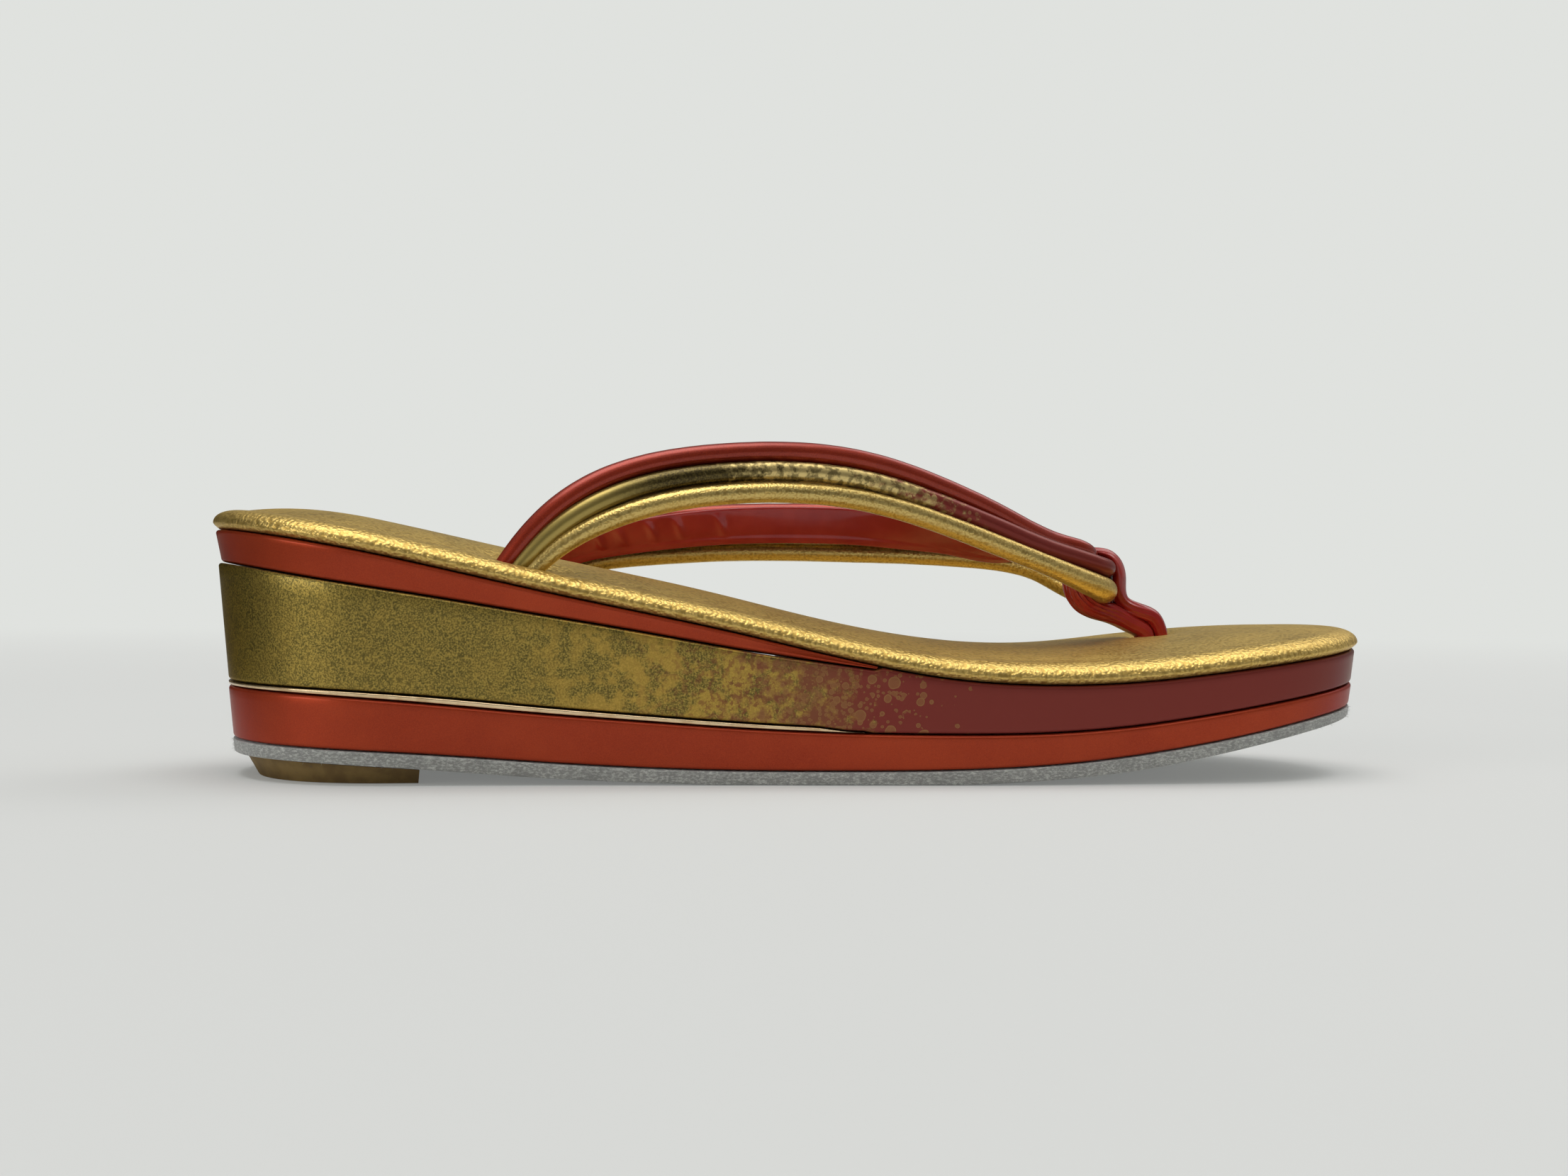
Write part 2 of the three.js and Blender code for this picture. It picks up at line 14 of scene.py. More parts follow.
import bpy
import numpy as np
from bpy.types import ID, Material, Node, NodeInputs, NodeSocket, NodeTree, Object
from mathutils import Matrix, Vector


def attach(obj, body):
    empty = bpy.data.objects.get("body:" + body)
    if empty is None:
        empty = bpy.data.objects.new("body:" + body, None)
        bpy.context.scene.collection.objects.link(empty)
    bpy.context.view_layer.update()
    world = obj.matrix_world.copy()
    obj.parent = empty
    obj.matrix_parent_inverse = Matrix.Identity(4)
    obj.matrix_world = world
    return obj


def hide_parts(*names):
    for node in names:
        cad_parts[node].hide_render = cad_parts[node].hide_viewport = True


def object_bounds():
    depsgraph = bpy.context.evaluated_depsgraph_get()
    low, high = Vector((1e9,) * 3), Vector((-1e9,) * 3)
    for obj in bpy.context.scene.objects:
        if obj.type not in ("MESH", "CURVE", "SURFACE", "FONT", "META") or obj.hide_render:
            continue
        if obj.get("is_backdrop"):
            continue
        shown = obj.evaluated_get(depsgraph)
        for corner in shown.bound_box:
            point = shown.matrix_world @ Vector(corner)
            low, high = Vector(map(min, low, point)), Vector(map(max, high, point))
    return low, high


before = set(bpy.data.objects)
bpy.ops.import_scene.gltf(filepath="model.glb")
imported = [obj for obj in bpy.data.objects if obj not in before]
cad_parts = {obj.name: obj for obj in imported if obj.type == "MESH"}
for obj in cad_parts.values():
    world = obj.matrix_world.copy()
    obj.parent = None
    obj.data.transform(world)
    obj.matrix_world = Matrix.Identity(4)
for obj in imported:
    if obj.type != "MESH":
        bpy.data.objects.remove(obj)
CAD_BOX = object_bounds()

log = logging.getLogger("zori")

MM = 0.001
ROOT = "root"

Color = tuple[float, float, float]
Array = np.ndarray
Curve = Callable[..., Array]


def natural_spline(knots: Sequence[float], values: Sequence[float]) -> Curve:
    """Makes a smooth curve through values at rising knots, with no bend at its ends.

    Args:
        knots: where the values stand.
        values: what the curve passes through.

    Returns:
        A function of an array of places, held at the end values outside the knots.
    """
    at = np.asarray(knots, float)
    value = np.asarray(values, float)
    step = np.diff(at)
    inner = len(at) - 2
    bend = np.zeros(len(at))
    if inner > 0:
        system = np.zeros((inner, inner))
        slopes = np.diff(value) / step
        for i in range(inner):
            system[i, i] = 2 * (step[i] + step[i + 1])
            if i:
                system[i, i - 1] = step[i]
            if i < inner - 1:
                system[i, i + 1] = step[i + 1]
        bend[1:-1] = np.linalg.solve(system, 6 * np.diff(slopes))

    def curve(x: Array, _origin: Array | None = None) -> Array:
        """Evaluates the curve.

        Args:
            x: the places.
            _origin: where a ring's points came from, which a smooth curve doesn't need.

        Returns:
            The curve's value at each place.
        """
        place = np.clip(x, at[0], at[-1])
        i = np.clip(np.searchsorted(at, place) - 1, 0, len(step) - 1)
        width = step[i]
        a = (at[i + 1] - place) / width
        b = 1 - a
        curved = (a**3 - a) * bend[i] + (b**3 - b) * bend[i + 1]
        return a * value[i] + b * value[i + 1] + curved * width**2 / 6

    return curve


def smooth_step(x: Array, low: float, high: float) -> Array:
    """Rises smoothly from 0 at low to 1 at high."""
    t = np.clip((np.asarray(x, float) - low) / (high - low), 0, 1)
    return t * t * (3 - 2 * t)


def unit(v: Array) -> Array:
    """Scales each vector of an array to length 1."""
    return v / np.linalg.norm(v, axis=-1, keepdims=True)


def signed_power(x: Array, power: float) -> Array:
    """Raises the size of each number to a power and keeps its sign."""
    return np.sign(x) * np.abs(x) ** power


def linked(name: str, data: ID) -> Object:
    """Makes an object for its data and puts it in the scene.

    Args:
        name: the object's name.
        data: its mesh, light or camera.

    Returns:
        The object.
    """
    made = bpy.data.objects.new(name, data)
    bpy.context.scene.collection.objects.link(made)
    return made


class Form:
    """A closed mesh in the making: rings of points joined into faces."""

    def __init__(self) -> None:
        """Starts with no points and no faces."""
        self.points: list[Array] = []
        self.faces: list[tuple[int, ...]] = []

    def ring(self, points: Array) -> Array:
        """Adds a ring of points.

        Args:
            points: the points, in order.

        Returns:
            The numbers that faces know the points by.
        """
        start = len(self.points)
        self.points.extend(points)
        return np.arange(start, len(self.points))

    def join(self, low: Array, high: Array) -> None:
        """Joins two rings of as many points by four-sided faces.

        Args:
            low: the numbers of one ring.
            high: the numbers of the next.
        """
        for i in range(len(low)):
            j = (i + 1) % len(low)
            self.faces.append((low[i], low[j], high[j], high[i]))

    def fan(self, ring: Array, centre: Array, turned: bool) -> None:
        """Closes a ring round a centre point.

        Args:
            ring: the ring's numbers.
            centre: the point in its middle.
            turned: whether the faces look back along the form.
        """
        middle = self.ring(centre[None, :])[0]
        for i in range(len(ring)):
            j = (i + 1) % len(ring)
            corner = (ring[j], ring[i]) if turned else (ring[i], ring[j])
            self.faces.append((*corner, middle))

    def lattice(self, ring: Array, turned: bool) -> None:
        """Closes a mirrored plan ring by strips straight across.

        Args:
            ring: the ring's numbers.
            turned: whether the faces look back along the form.
        """
        around = len(ring)
        half = around // 2
        for i in range(half):
            over_i = ring[(around - i) % around]
            over_j = ring[(around - i - 1) % around]
            quad = [ring[i], ring[i + 1], over_j, over_i]
            face = list(dict.fromkeys(quad))
            self.faces.append(tuple(face[::-1] if turned else face))

    def wrap(self, rings: Sequence[Array], centres: Sequence[Array] = ()) -> "Form":
        """Joins rings one after another and closes both ends.

        Args:
            rings: the points of each ring.
            centres: the middle of each end; without them strips straight across close the ends.

        Returns:
            This form.
        """
        numbered = [self.ring(points) for points in rings]
        for before, after in zip(numbered, numbered[1:]):
            self.join(before, after)
        for end, turned in ((0, True), (-1, False)):
            if len(centres):
                self.fan(numbered[end], centres[end], turned)
            else:
                self.lattice(numbered[end], turned)
        return self

    def mesh(self, name: str, sharp_deg: float = 40.0) -> Object:
        """Makes the object.

        Args:
            name: the piece's name.
            sharp_deg: edges that turn more than this stay sharp.

        Returns:
            A smooth-shaded mesh object, in metres.
        """
        data = bpy.data.meshes.new(name)
        points = np.array(self.points) * MM
        data.from_pydata(points.tolist(), [], [tuple(map(int, f)) for f in self.faces])
        data.validate()
        data.shade_smooth()
        data.set_sharp_from_angle(angle=math.radians(sharp_deg))
        data.update()
        return linked(name, data)


def place_piece(
    piece: Object, finish: Material, slot: str, *nodes: str
) -> None:
    """Gives a piece its finish and its place in the frame, and hides the CAD nodes that it takes the
    place of.

    Args:
        piece: the mesh object.
        finish: its material.
        slot: the name of a material slot; not used.
        nodes: the CAD nodes that it takes the place of.
    """
    piece.data.materials.clear()
    piece.data.materials.append(finish)
    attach(piece, ROOT)
    if nodes:
        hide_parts(*nodes)
    log.info("%s: %d faces", piece.name, len(piece.data.polygons))


@dataclass(frozen=True)
class Last:
    """The sandal's plan and the heights of its layers, which every piece is worked out from."""

    length: float = 240.0
    ball_half_width: float = 41.0
    heel_half_width: float = 34.5
    ball_at: float = 168.0
    heel_at: float = 48.0
    toe_round: tuple[float, float] = (47.0, 2.25)
    heel_round: tuple[float, float] = (34.0, 2.2)
    plan_steps: int = 210
    rim_height: float = 4.4
    rim_width: float = 6.0
    dome_power: float = 2.5
    columns: tuple[str, ...] = (
        "at", "seam", "crown", "top_wedge", "strip", "mid", "sole_top", "sole_low",
    )
    rows: tuple[tuple[float, ...], ...] = (
        (0, 48.9, 7.8, 42.5, 0.9, 17.95, 7.45, 4.6),
        (20, 45.6, 7.8, 38.9, 1.1, 17.05, 6.85, 4.15),
        (40, 41.6, 7.9, 35.85, 1.3, 15.6, 5.85, 3.0),
        (60, 37.25, 8.0, 32.65, 1.3, 13.8, 4.45, 1.5),
        (80, 33.15, 8.1, 29.4, 1.15, 12.3, 3.3, 0.45),
        (100, 28.95, 8.1, 25.95, 1.05, 10.95, 2.7, -0.1),
        (120, 24.3, 8.0, 23.05, 0.9, 10.1, 2.6, -0.3),
        (140, 20.6, 7.9, 20.6, 0.6, 9.8, 2.8, -0.1),
        (160, 19.35, 7.2, 19.35, 0, 10.05, 3.65, 0.8),
        (180, 20.05, 6.6, 20.05, 0, 11.6, 5.75, 2.85),
        (200, 22.25, 6.4, 22.25, 0, 14.5, 9.1, 6.6),
        (220, 24.6, 6.4, 24.6, 0, 17.5, 12.7, 10.4),
        (240, 26.8, 6.4, 26.8, 0, 19.9, 15.2, 13.1),
    )

    def line(self, name: str) -> Curve:
        """Returns one named line of the side view as a smooth function of place."""
        column = self.columns.index(name)
        return natural_spline([r[0] for r in self.rows], [r[column] for r in self.rows])

    def half_width(self, at: Array) -> Array:
        """Works out half the plan's width.

        Args:
            at: distances from the heel end.

        Returns:
            Half the width at each.
        """
        at = np.asarray(at, float)
        widening = self.ball_half_width - self.heel_half_width
        width = self.heel_half_width + widening * smooth_step(at, self.heel_at, self.ball_at)
        for reach, (length, power) in (
            (at, self.heel_round), (self.length - at, self.toe_round),
        ):
            past = np.clip(1 - reach / length, 0, 1)
            width = width * np.maximum(1 - past**power, 0) ** (1 / power)
        return width

    def plan(self, end: float) -> tuple[Array, Array]:
        """Walks the near side of the plan from the heel end.

        Args:
            end: how far to walk.

        Returns:
            The plan points, and the way out of the plan at each.
        """
        turn_end = math.acos(1 - 2 * end / self.length) / math.pi
        turns = np.linspace(0, turn_end, round(self.plan_steps * turn_end) + 1)
        delta = 1e-4

        def place(u: Array) -> Array:
            """Returns the plan point at a turn."""
            at = self.length * (1 - np.cos(np.pi * np.clip(u, 0, 1))) / 2
            return np.stack([at, -self.half_width(at)], axis=-1)

        along = unit(place(turns + delta) - place(turns - delta))
        out = np.stack([along[:, 1], -along[:, 0]], axis=-1)
        out[0] = (-1, 0)
        if end >= self.length:
            out[-1] = (1, 0)
        return place(turns), out

    def ring(
        self, end: float, inset: Curve | float, height: Curve, to_axis: float = 0.0
    ) -> Array:
        """Makes a closed ring round the plan.

        Args:
            end: where the plan is cut off.
            inset: how far each plan point is set in, the same all round or from its place.
            height: the height, from the place after and before the point is set in.
            to_axis: how far the ring is drawn in to the middle line, from 0 to 1.

        Returns:
            The ring's points, from the heel along the near side and back along the far side.
        """
        points, out = self.plan(end)
        depth = inset(points[:, 0]) if callable(inset) else inset
        set_in = points - out * np.reshape(depth, (-1, 1))
        if end < self.length:
            set_in[:, 0] = np.minimum(set_in[:, 0], end)
        axis = np.clip(points[:, 0], self.heel_round[0], self.length - self.toe_round[0])
        set_in[:, 0] += (axis - set_in[:, 0]) * to_axis
        set_in[:, 1] *= 1 - to_axis
        near = np.column_stack(
            [set_in[:, 0] - self.length / 2, set_in[:, 1], height(set_in[:, 0], points[:, 0])]
        )
        closed = end >= self.length
        far = near[1:-1] if closed else near[1:]
        return np.vstack([near, (far * (1, -1, 1))[::-1]])

    def cushion_rise(self, at: Array, inset: Array, to_axis: Array) -> Array:
        """Works out the cushion's rise over its seam.

        Args:
            at: distances from the heel end.
            inset: how far in from the edge.
            to_axis: the share of the way to the middle line.

        Returns:
            The rise at each place.
        """
        rim = np.minimum(inset / self.rim_width, 1)
        dome = 1 - (1 - to_axis) ** self.dome_power
        rounded = self.rim_height * np.sqrt(1 - (1 - rim) ** 2)
        return rounded + (self.line("crown")(at) - self.rim_height) * dome

    def cushion_top(self, at: Array, y: Array) -> Array:
        """Works out the height of the cushion's upper face.

        Args:
            at: distances from the heel end.
            y: distances from the middle plane.

        Returns:
            The height at each place.
        """
        half = self.half_width(at)
        inset = np.maximum(half - np.abs(y), 0)
        return self.line("seam")(at) + self.cushion_rise(at, inset, inset / half)


LAST = Last()


class Graph:
    """Adds nodes to a node tree and wires them, so that a material reads like a recipe."""

    def __init__(self, tree: NodeTree) -> None:
        """Works on one tree."""
        self.tree = tree

    def node(self, kind: str, inputs: dict | None = None, **settings: object) -> Node:
        """Adds a node.

        Args:
            kind: Blender's name of the node.
            inputs: values or sockets by the input's name or number.
            settings: attributes of the node.

        Returns:
            The node.
        """
        made = self.tree.nodes.new(kind)
        for key, value in settings.items():
            setattr(made, key, value)
        for key, value in (inputs or {}).items():
            self.feed(made.inputs[key], value)
        return made

    def feed(self, socket: NodeSocket, value: object) -> None:
        """Wires a socket into an input, or sets its value.

        Args:
            socket: the input.
            value: an output to wire in, or a number, colour or vector.
        """
        if isinstance(value, NodeSocket):
            self.tree.links.new(value, socket)
        elif hasattr(socket.default_value, "__len__") and not isinstance(value, str):
            wanted = len(socket.default_value)
            values = list(value) if hasattr(value, "__len__") else [value] * wanted
            socket.default_value = (values + [1.0])[:wanted]
        else:
            socket.default_value = value

    def math(self, operation: str, *values: object, clamp: bool = False) -> NodeSocket:
        """Adds a Math node.

        Args:
            operation: Blender's name of the operation.
            values: numbers or sockets.
            clamp: whether the result is kept between 0 and 1.

        Returns:
            The node's value.
        """
        inputs = dict(enumerate(values))
        made = self.node("ShaderNodeMath", inputs, operation=operation, use_clamp=clamp)
        return made.outputs[0]

    def mix(self, share: object, low: object, high: object) -> NodeSocket:
        """Mixes two colours.

        Args:
            share: how much of the high colour shows.
            low: the colour at 0.
            high: the colour at 1.

        Returns:
            The mixed colour.
        """
        made = self.node("ShaderNodeMix", data_type="RGBA")
        for number, value in ((0, share), (6, low), (7, high)):
            self.feed(made.inputs[number], value)
        return made.outputs[2]

    def between(
        self, value: object, low: float, high: float, to_low: float = 0.0, to_high: float = 1.0
    ) -> NodeSocket:
        """Maps a value smoothly from one range to another.

        Args:
            value: what is mapped.
            low: where the range begins.
            high: where it ends.
            to_low: the result at its beginning.
            to_high: the result at its end.

        Returns:
            The result.
        """
        inputs = {0: value, 1: low, 2: high, 3: to_low, 4: to_high}
        kind = "ShaderNodeMapRange"
        return self.node(kind, inputs, interpolation_type="SMOOTHSTEP").outputs[0]

    def lumps(
        self, place: object, scale: object, detail: float = 2.0, rough: float = 0.5
    ) -> Node:
        """Adds a noise texture."""
        inputs = {"Vector": place, "Scale": scale, "Detail": detail, "Roughness": rough}
        return self.node("ShaderNodeTexNoise", inputs)

    def noise(
        self, place: object, size_mm: float, detail: float = 2.0, rough: float = 0.5
    ) -> NodeSocket:
        """Adds noise whose lumps measure about size_mm, and returns its value."""
        return self.lumps(place, 1 / (size_mm * MM), detail, rough).outputs["Fac"]

    def vector(self, operation: str, inputs: dict, output: str = "Vector") -> NodeSocket:
        """Adds a Vector Math node and returns its result."""
        return self.node("ShaderNodeVectorMath", inputs, operation=operation).outputs[output]


class Effect(Enum):
    """The shared effects of the finishes, named as the method that builds each group."""

    GRAIN = "leather_grain"
    FLAKES = "metal_flakes"
    SPLATS = "round_splats"
    PLACE = "place_from_heel"
    WEAR = "soft_wear"


class EffectShelf:
    """Builds each shared effect once and places it in the materials that ask for it."""

    def __init__(self) -> None:
        """Starts with an empty shelf."""
        self.made: dict[Effect, NodeTree] = {}

    def get(self, effect: Effect) -> NodeTree:
        """Finds an effect on the shelf, or builds it the first time.

        Args:
            effect: which one.

        Returns:
            The node group.
        """
        if effect not in self.made:
            self.made[effect] = getattr(self, effect.value)(effect.value)
        return self.made[effect]

    def start(
        self, name: str, inputs: dict[str, float | None], outputs: Sequence[str]
    ) -> tuple[Graph, NodeInputs, NodeInputs]:
        """Opens a new group.

        Args:
            name: the group's name.
            inputs: default value of each number input; None makes a vector input.
            outputs: names of the value outputs.

        Returns:
            A graph on the group, the sockets that it is given and the sockets that it puts out.
        """
        tree = bpy.data.node_groups.new(name, "ShaderNodeTree")
        for label, default in inputs.items():
            kind = "NodeSocketVector" if default is None else "NodeSocketFloat"
            socket = tree.interface.new_socket(label, in_out="INPUT", socket_type=kind)
            if default is not None:
                socket.default_value = default
        for label in outputs:
            tree.interface.new_socket(label, in_out="OUTPUT", socket_type="NodeSocketFloat")
        graph = Graph(tree)
        given = graph.node("NodeGroupInput").outputs
        return graph, given, graph.node("NodeGroupOutput").inputs

    def leather_grain(self, name: str) -> NodeTree:
        """Pebbled grain: rounded cells, warped a little, with fine pores between them.

        Args:
            name: the group's name.

        Returns:
            The node group.
        """
        inputs = {"Vector": None, "Scale": 1000.0, "Warp": 0.3}
        g, given, put = self.start(name, inputs, ("Height", "Valley"))
        place, scale = given["Vector"], given["Scale"]
        warp = g.lumps(place, scale, detail=1.0).outputs["Color"]
        centred = g.vector("SUBTRACT", {0: warp, 1: (0.5, 0.5, 0.5)})
        reach = g.math("DIVIDE", given["Warp"], scale)
        shift = g.vector("SCALE", {0: centred, "Scale": reach})
        moved = g.vector("ADD", {0: place, 1: shift})
        cell_in = {"Vector": moved, "Scale": scale}
        cells = g.node("ShaderNodeTexVoronoi", cell_in, feature="SMOOTH_F1")
        pores = g.lumps(place, g.math("MULTIPLY", scale, 3.1)).outputs["Fac"]
        pebble = g.between(cells.outputs["Distance"], 0.05, 0.75, 1.0, 0.0)
        g.feed(put["Height"], g.math("MULTIPLY_ADD", pores, 0.25, pebble))
        g.feed(put["Valley"], g.between(pebble, 0.1, 0.5, 1.0, 0.0))
        return g.tree

    def metal_flakes(self, name: str) -> NodeTree:
        """Ground metal in enamel: small bright specks over a darker ground.

        Args:
            name: the group's name.

        Returns:
            The node group.
        """
        inputs = {"Vector": None, "Scale": 2200.0, "Low": 0.4, "High": 0.62}
        g, given, put = self.start(name, inputs, ("Mask", "Height"))
        noise = g.lumps(given["Vector"], given["Scale"], 3.0, 0.6).outputs["Fac"]
        g.feed(put["Mask"], g.between(noise, given["Low"], given["High"]))
        g.feed(put["Height"], noise)
        return g.tree

    def round_splats(self, name: str) -> NodeTree:
        """Round drops of gold of many sizes, some of them with a bare middle.

        Args:
            name: the group's name.

        Returns:
            The node group.
        """
        inputs = {"Vector": None, "Scale": 400.0, "Share": 0.5, "Size": 0.34}
        g, given, put = self.start(name, inputs, ("Mask", "Ring"))
        wobble_scale = g.math("MULTIPLY", given["Scale"], 2.3)
        wobble = g.lumps(given["Vector"], wobble_scale).outputs["Fac"]
        x, _, z = g.node("ShaderNodeSeparateXYZ", {0: given["Vector"]}).outputs
        flat = g.node("ShaderNodeCombineXYZ", {0: x, 1: z}).outputs[0]
        cells_in = {"Vector": flat, "Scale": given["Scale"]}
        cells = g.node("ShaderNodeTexVoronoi", cells_in, voronoi_dimensions="2D")
        chance, draw, _ = g.node("ShaderNodeSeparateColor", {0: cells.outputs["Color"]}).outputs
        radius = g.math("MULTIPLY", given["Size"], g.between(chance, 0.0, 1.0, 0.35, 1.0))
        shown = g.math("LESS_THAN", draw, given["Share"])
        uneven = g.math("MULTIPLY_ADD", wobble, 0.16, cells.outputs["Distance"])
        depth = g.math("SUBTRACT", g.math("ADD", radius, 0.08), uneven)
        inside = g.between(depth, 0.0, 0.05)
        ring = g.math("MULTIPLY", inside, g.between(depth, 0.05, 0.12, 1.0, 0.0))
        g.feed(put["Mask"], g.math("MULTIPLY", inside, shown))
        g.feed(put["Ring"], g.math("MULTIPLY", ring, shown))
        return g.tree

    def place_from_heel(self, name: str) -> NodeTree:
        """The distance from the heel end in millimetres, with an uneven border.

        Args:
            name: the group's name.

        Returns:
            The node group.
        """
        inputs = {"Vector": None, "Wobble": 6.0, "Scale": 120.0}
        g, given, put = self.start(name, inputs, ("At",))
        x = g.node("ShaderNodeSeparateXYZ", {0: given["Vector"]}).outputs[0]
        place = g.math("MULTIPLY_ADD", x, 1 / MM, LAST.length / 2)
        noise = g.lumps(given["Vector"], given["Scale"], 5.0, 0.62).outputs["Fac"]
        swing = g.math("MULTIPLY", g.math("SUBTRACT", noise, 0.5), given["Wobble"])
        g.feed(put["At"], g.math("ADD", place, swing))
        return g.tree

    def soft_wear(self, name: str) -> NodeTree:
        """Faint cloudy unevenness and a few fine marks, for gloss that isn't quite even.

        Args:
            name: the group's name.

        Returns:
            The node group.
        """
        inputs = {"Vector": None, "Cloud": 60.0, "Marks": 500.0}
        g, given, put = self.start(name, inputs, ("Cloud", "Marks"))
        drawn_out = {"Vector": given["Vector"], "Scale": (0.15, 1.0, 1.0)}
        stretched = g.node("ShaderNodeMapping", drawn_out).outputs[0]
        marks = g.lumps(stretched, given["Marks"]).outputs["Fac"]
        g.feed(put["Cloud"], g.lumps(given["Vector"], given["Cloud"], 4.0).outputs["Fac"])
        g.feed(put["Marks"], g.between(marks, 0.68, 0.8))
        return g.tree


SHELF = EffectShelf()


class Recipe(Graph):
    """A material in the making, on Object coordinates."""

    def __init__(self, name: str) -> None:
        """Starts a material with a Principled shader.

        Args:
            name: the material's name.
        """
        self.material = bpy.data.materials.new(name)
        self.material.use_nodes = True
        super().__init__(self.material.node_tree)
        self.shader = self.tree.nodes["Principled BSDF"]
        self.place = self.node("ShaderNodeTexCoord").outputs["Object"]

    def effect(self, effect: Effect, **values: object) -> NodeInputs:
        """Places a shared effect with values of its own.

        Args:
            effect: which one.
            values: its inputs; size_mm may stand for the scale.

        Returns:
            The sockets that it puts out.
        """
        if "size_mm" in values:
            values["scale"] = 1 / (values.pop("size_mm") * MM)
        made = self.node("ShaderNodeGroup", {"Vector": self.place}, node_tree=SHELF.get(effect))
        for key, value in values.items():
            self.feed(made.inputs[key.capitalize()], value)
        return made.outputs

    def set(self, **values: object) -> None:
        """Sets or wires the shader's inputs, named with underscores.

        Args:
            values: numbers, colours or sockets, by the input's name.
        """
        for key, value in values.items():
            label = key.replace("_", " ").title().replace("Ior", "IOR")
            self.feed(self.shader.inputs[label], value)

    def bump(self, height: object, depth_mm: float, before: object = None) -> NodeSocket:
        """Turns a height into a normal and wires it into the shader.

        Args:
            height: the height, about 0 to 1.
            depth_mm: how deep the relief is.
            before: the normal under this relief, if there is one.

        Returns:
            The normal.
        """
        inputs = {"Height": height, "Distance": depth_mm * MM, "Strength": 1.0}
        if before is not None:
            inputs["Normal"] = before
        normal = self.node("ShaderNodeBump", inputs).outputs[0]
        self.feed(self.shader.inputs["Normal"], normal)
        return normal


class Finish:
    """The way that a material of its own is dressed."""

    def build(self, name: str) -> Material:
        """Makes a material with this finish.

        Args:
            name: the material's name.

        Returns:
            The material.
        """
        recipe = Recipe(name)
        self.dress(recipe)
        return recipe.material

    def dress(self, r: Recipe) -> None:
        """Sets the material's colour, gloss and relief.

        Args:
            r: the material in the making.
        """
        raise NotImplementedError


@dataclass(frozen=True)
class GoldLeather(Finish):
    """Grained leather with a metallic gold face, on the cushion and the lowest roll."""

    ground: Color = (0.64, 0.45, 0.135)
    valley: Color = (0.46, 0.30, 0.075)
    grain_mm: float = 0.66
    depth_mm: float = 0.10
    roughness: float = 0.38
    clouded: Color = (0.72, 0.50, 0.15)
    glint: Color = (0.95, 0.88, 0.72)

    def dress(self, r: Recipe) -> None:
        """Darkens the grain's valleys and lays pale, duller clouds over the gold.

        Args:
            r: the material in the making.
        """
        grain = r.effect(Effect.GRAIN, size_mm=self.grain_mm, warp=0.5)
        cloud = r.effect(Effect.WEAR, cloud=90.0, marks=420.0)["Cloud"]
        color = r.mix(grain["Valley"], self.ground, self.valley)
        color = r.mix(r.between(cloud, 0.35, 0.7, 0.0, 0.3), color, self.clouded)
        rough = r.math("MULTIPLY_ADD", cloud, 0.16, self.roughness - 0.08)
        r.set(base_color=color, metallic=0.85, roughness=rough, specular_ior_level=0.3)
        r.set(specular_tint=self.glint)
        r.bump(grain["Height"], self.depth_mm)


@dataclass(frozen=True)
class PearlEnamel(Finish):
    """Smooth red enamelled leather with a pearly sheen."""

    ground: Color = (0.345, 0.046, 0.016)
    deep: Color = (0.285, 0.034, 0.013)
    roughness: float = 0.36
    metallic: float = 0.5
    coat: float = 0.12
    pearl: Color = (0.56, 0.075, 0.022)
    glint: Color = (0.5, 0.26, 0.24)

    def dress(self, r: Recipe) -> None:
        """Mixes pearl specks into the red and ripples it slightly.

        Args:
            r: the material in the making.
        """
        cloud = r.effect(Effect.WEAR, cloud=70.0, marks=900.0)["Cloud"]
        specks = r.effect(Effect.FLAKES, scale=5200.0, low=0.3, high=0.7)
        color = r.mix(r.between(cloud, 0.3, 0.75), self.deep, self.ground)
        color = r.mix(r.math("MULTIPLY", specks["Mask"], 0.35), color, self.pearl)
        rough = r.math("MULTIPLY_ADD", cloud, 0.1, self.roughness - 0.05)
        r.set(base_color=color, metallic=self.metallic, roughness=rough, coat_weight=self.coat)
        r.set(coat_roughness=0.12, specular_ior_level=0.25, specular_tint=self.glint)
        ripple = r.bump(r.noise(r.place, 1.6), 0.012)
        r.bump(specks["Height"], 0.004, ripple)


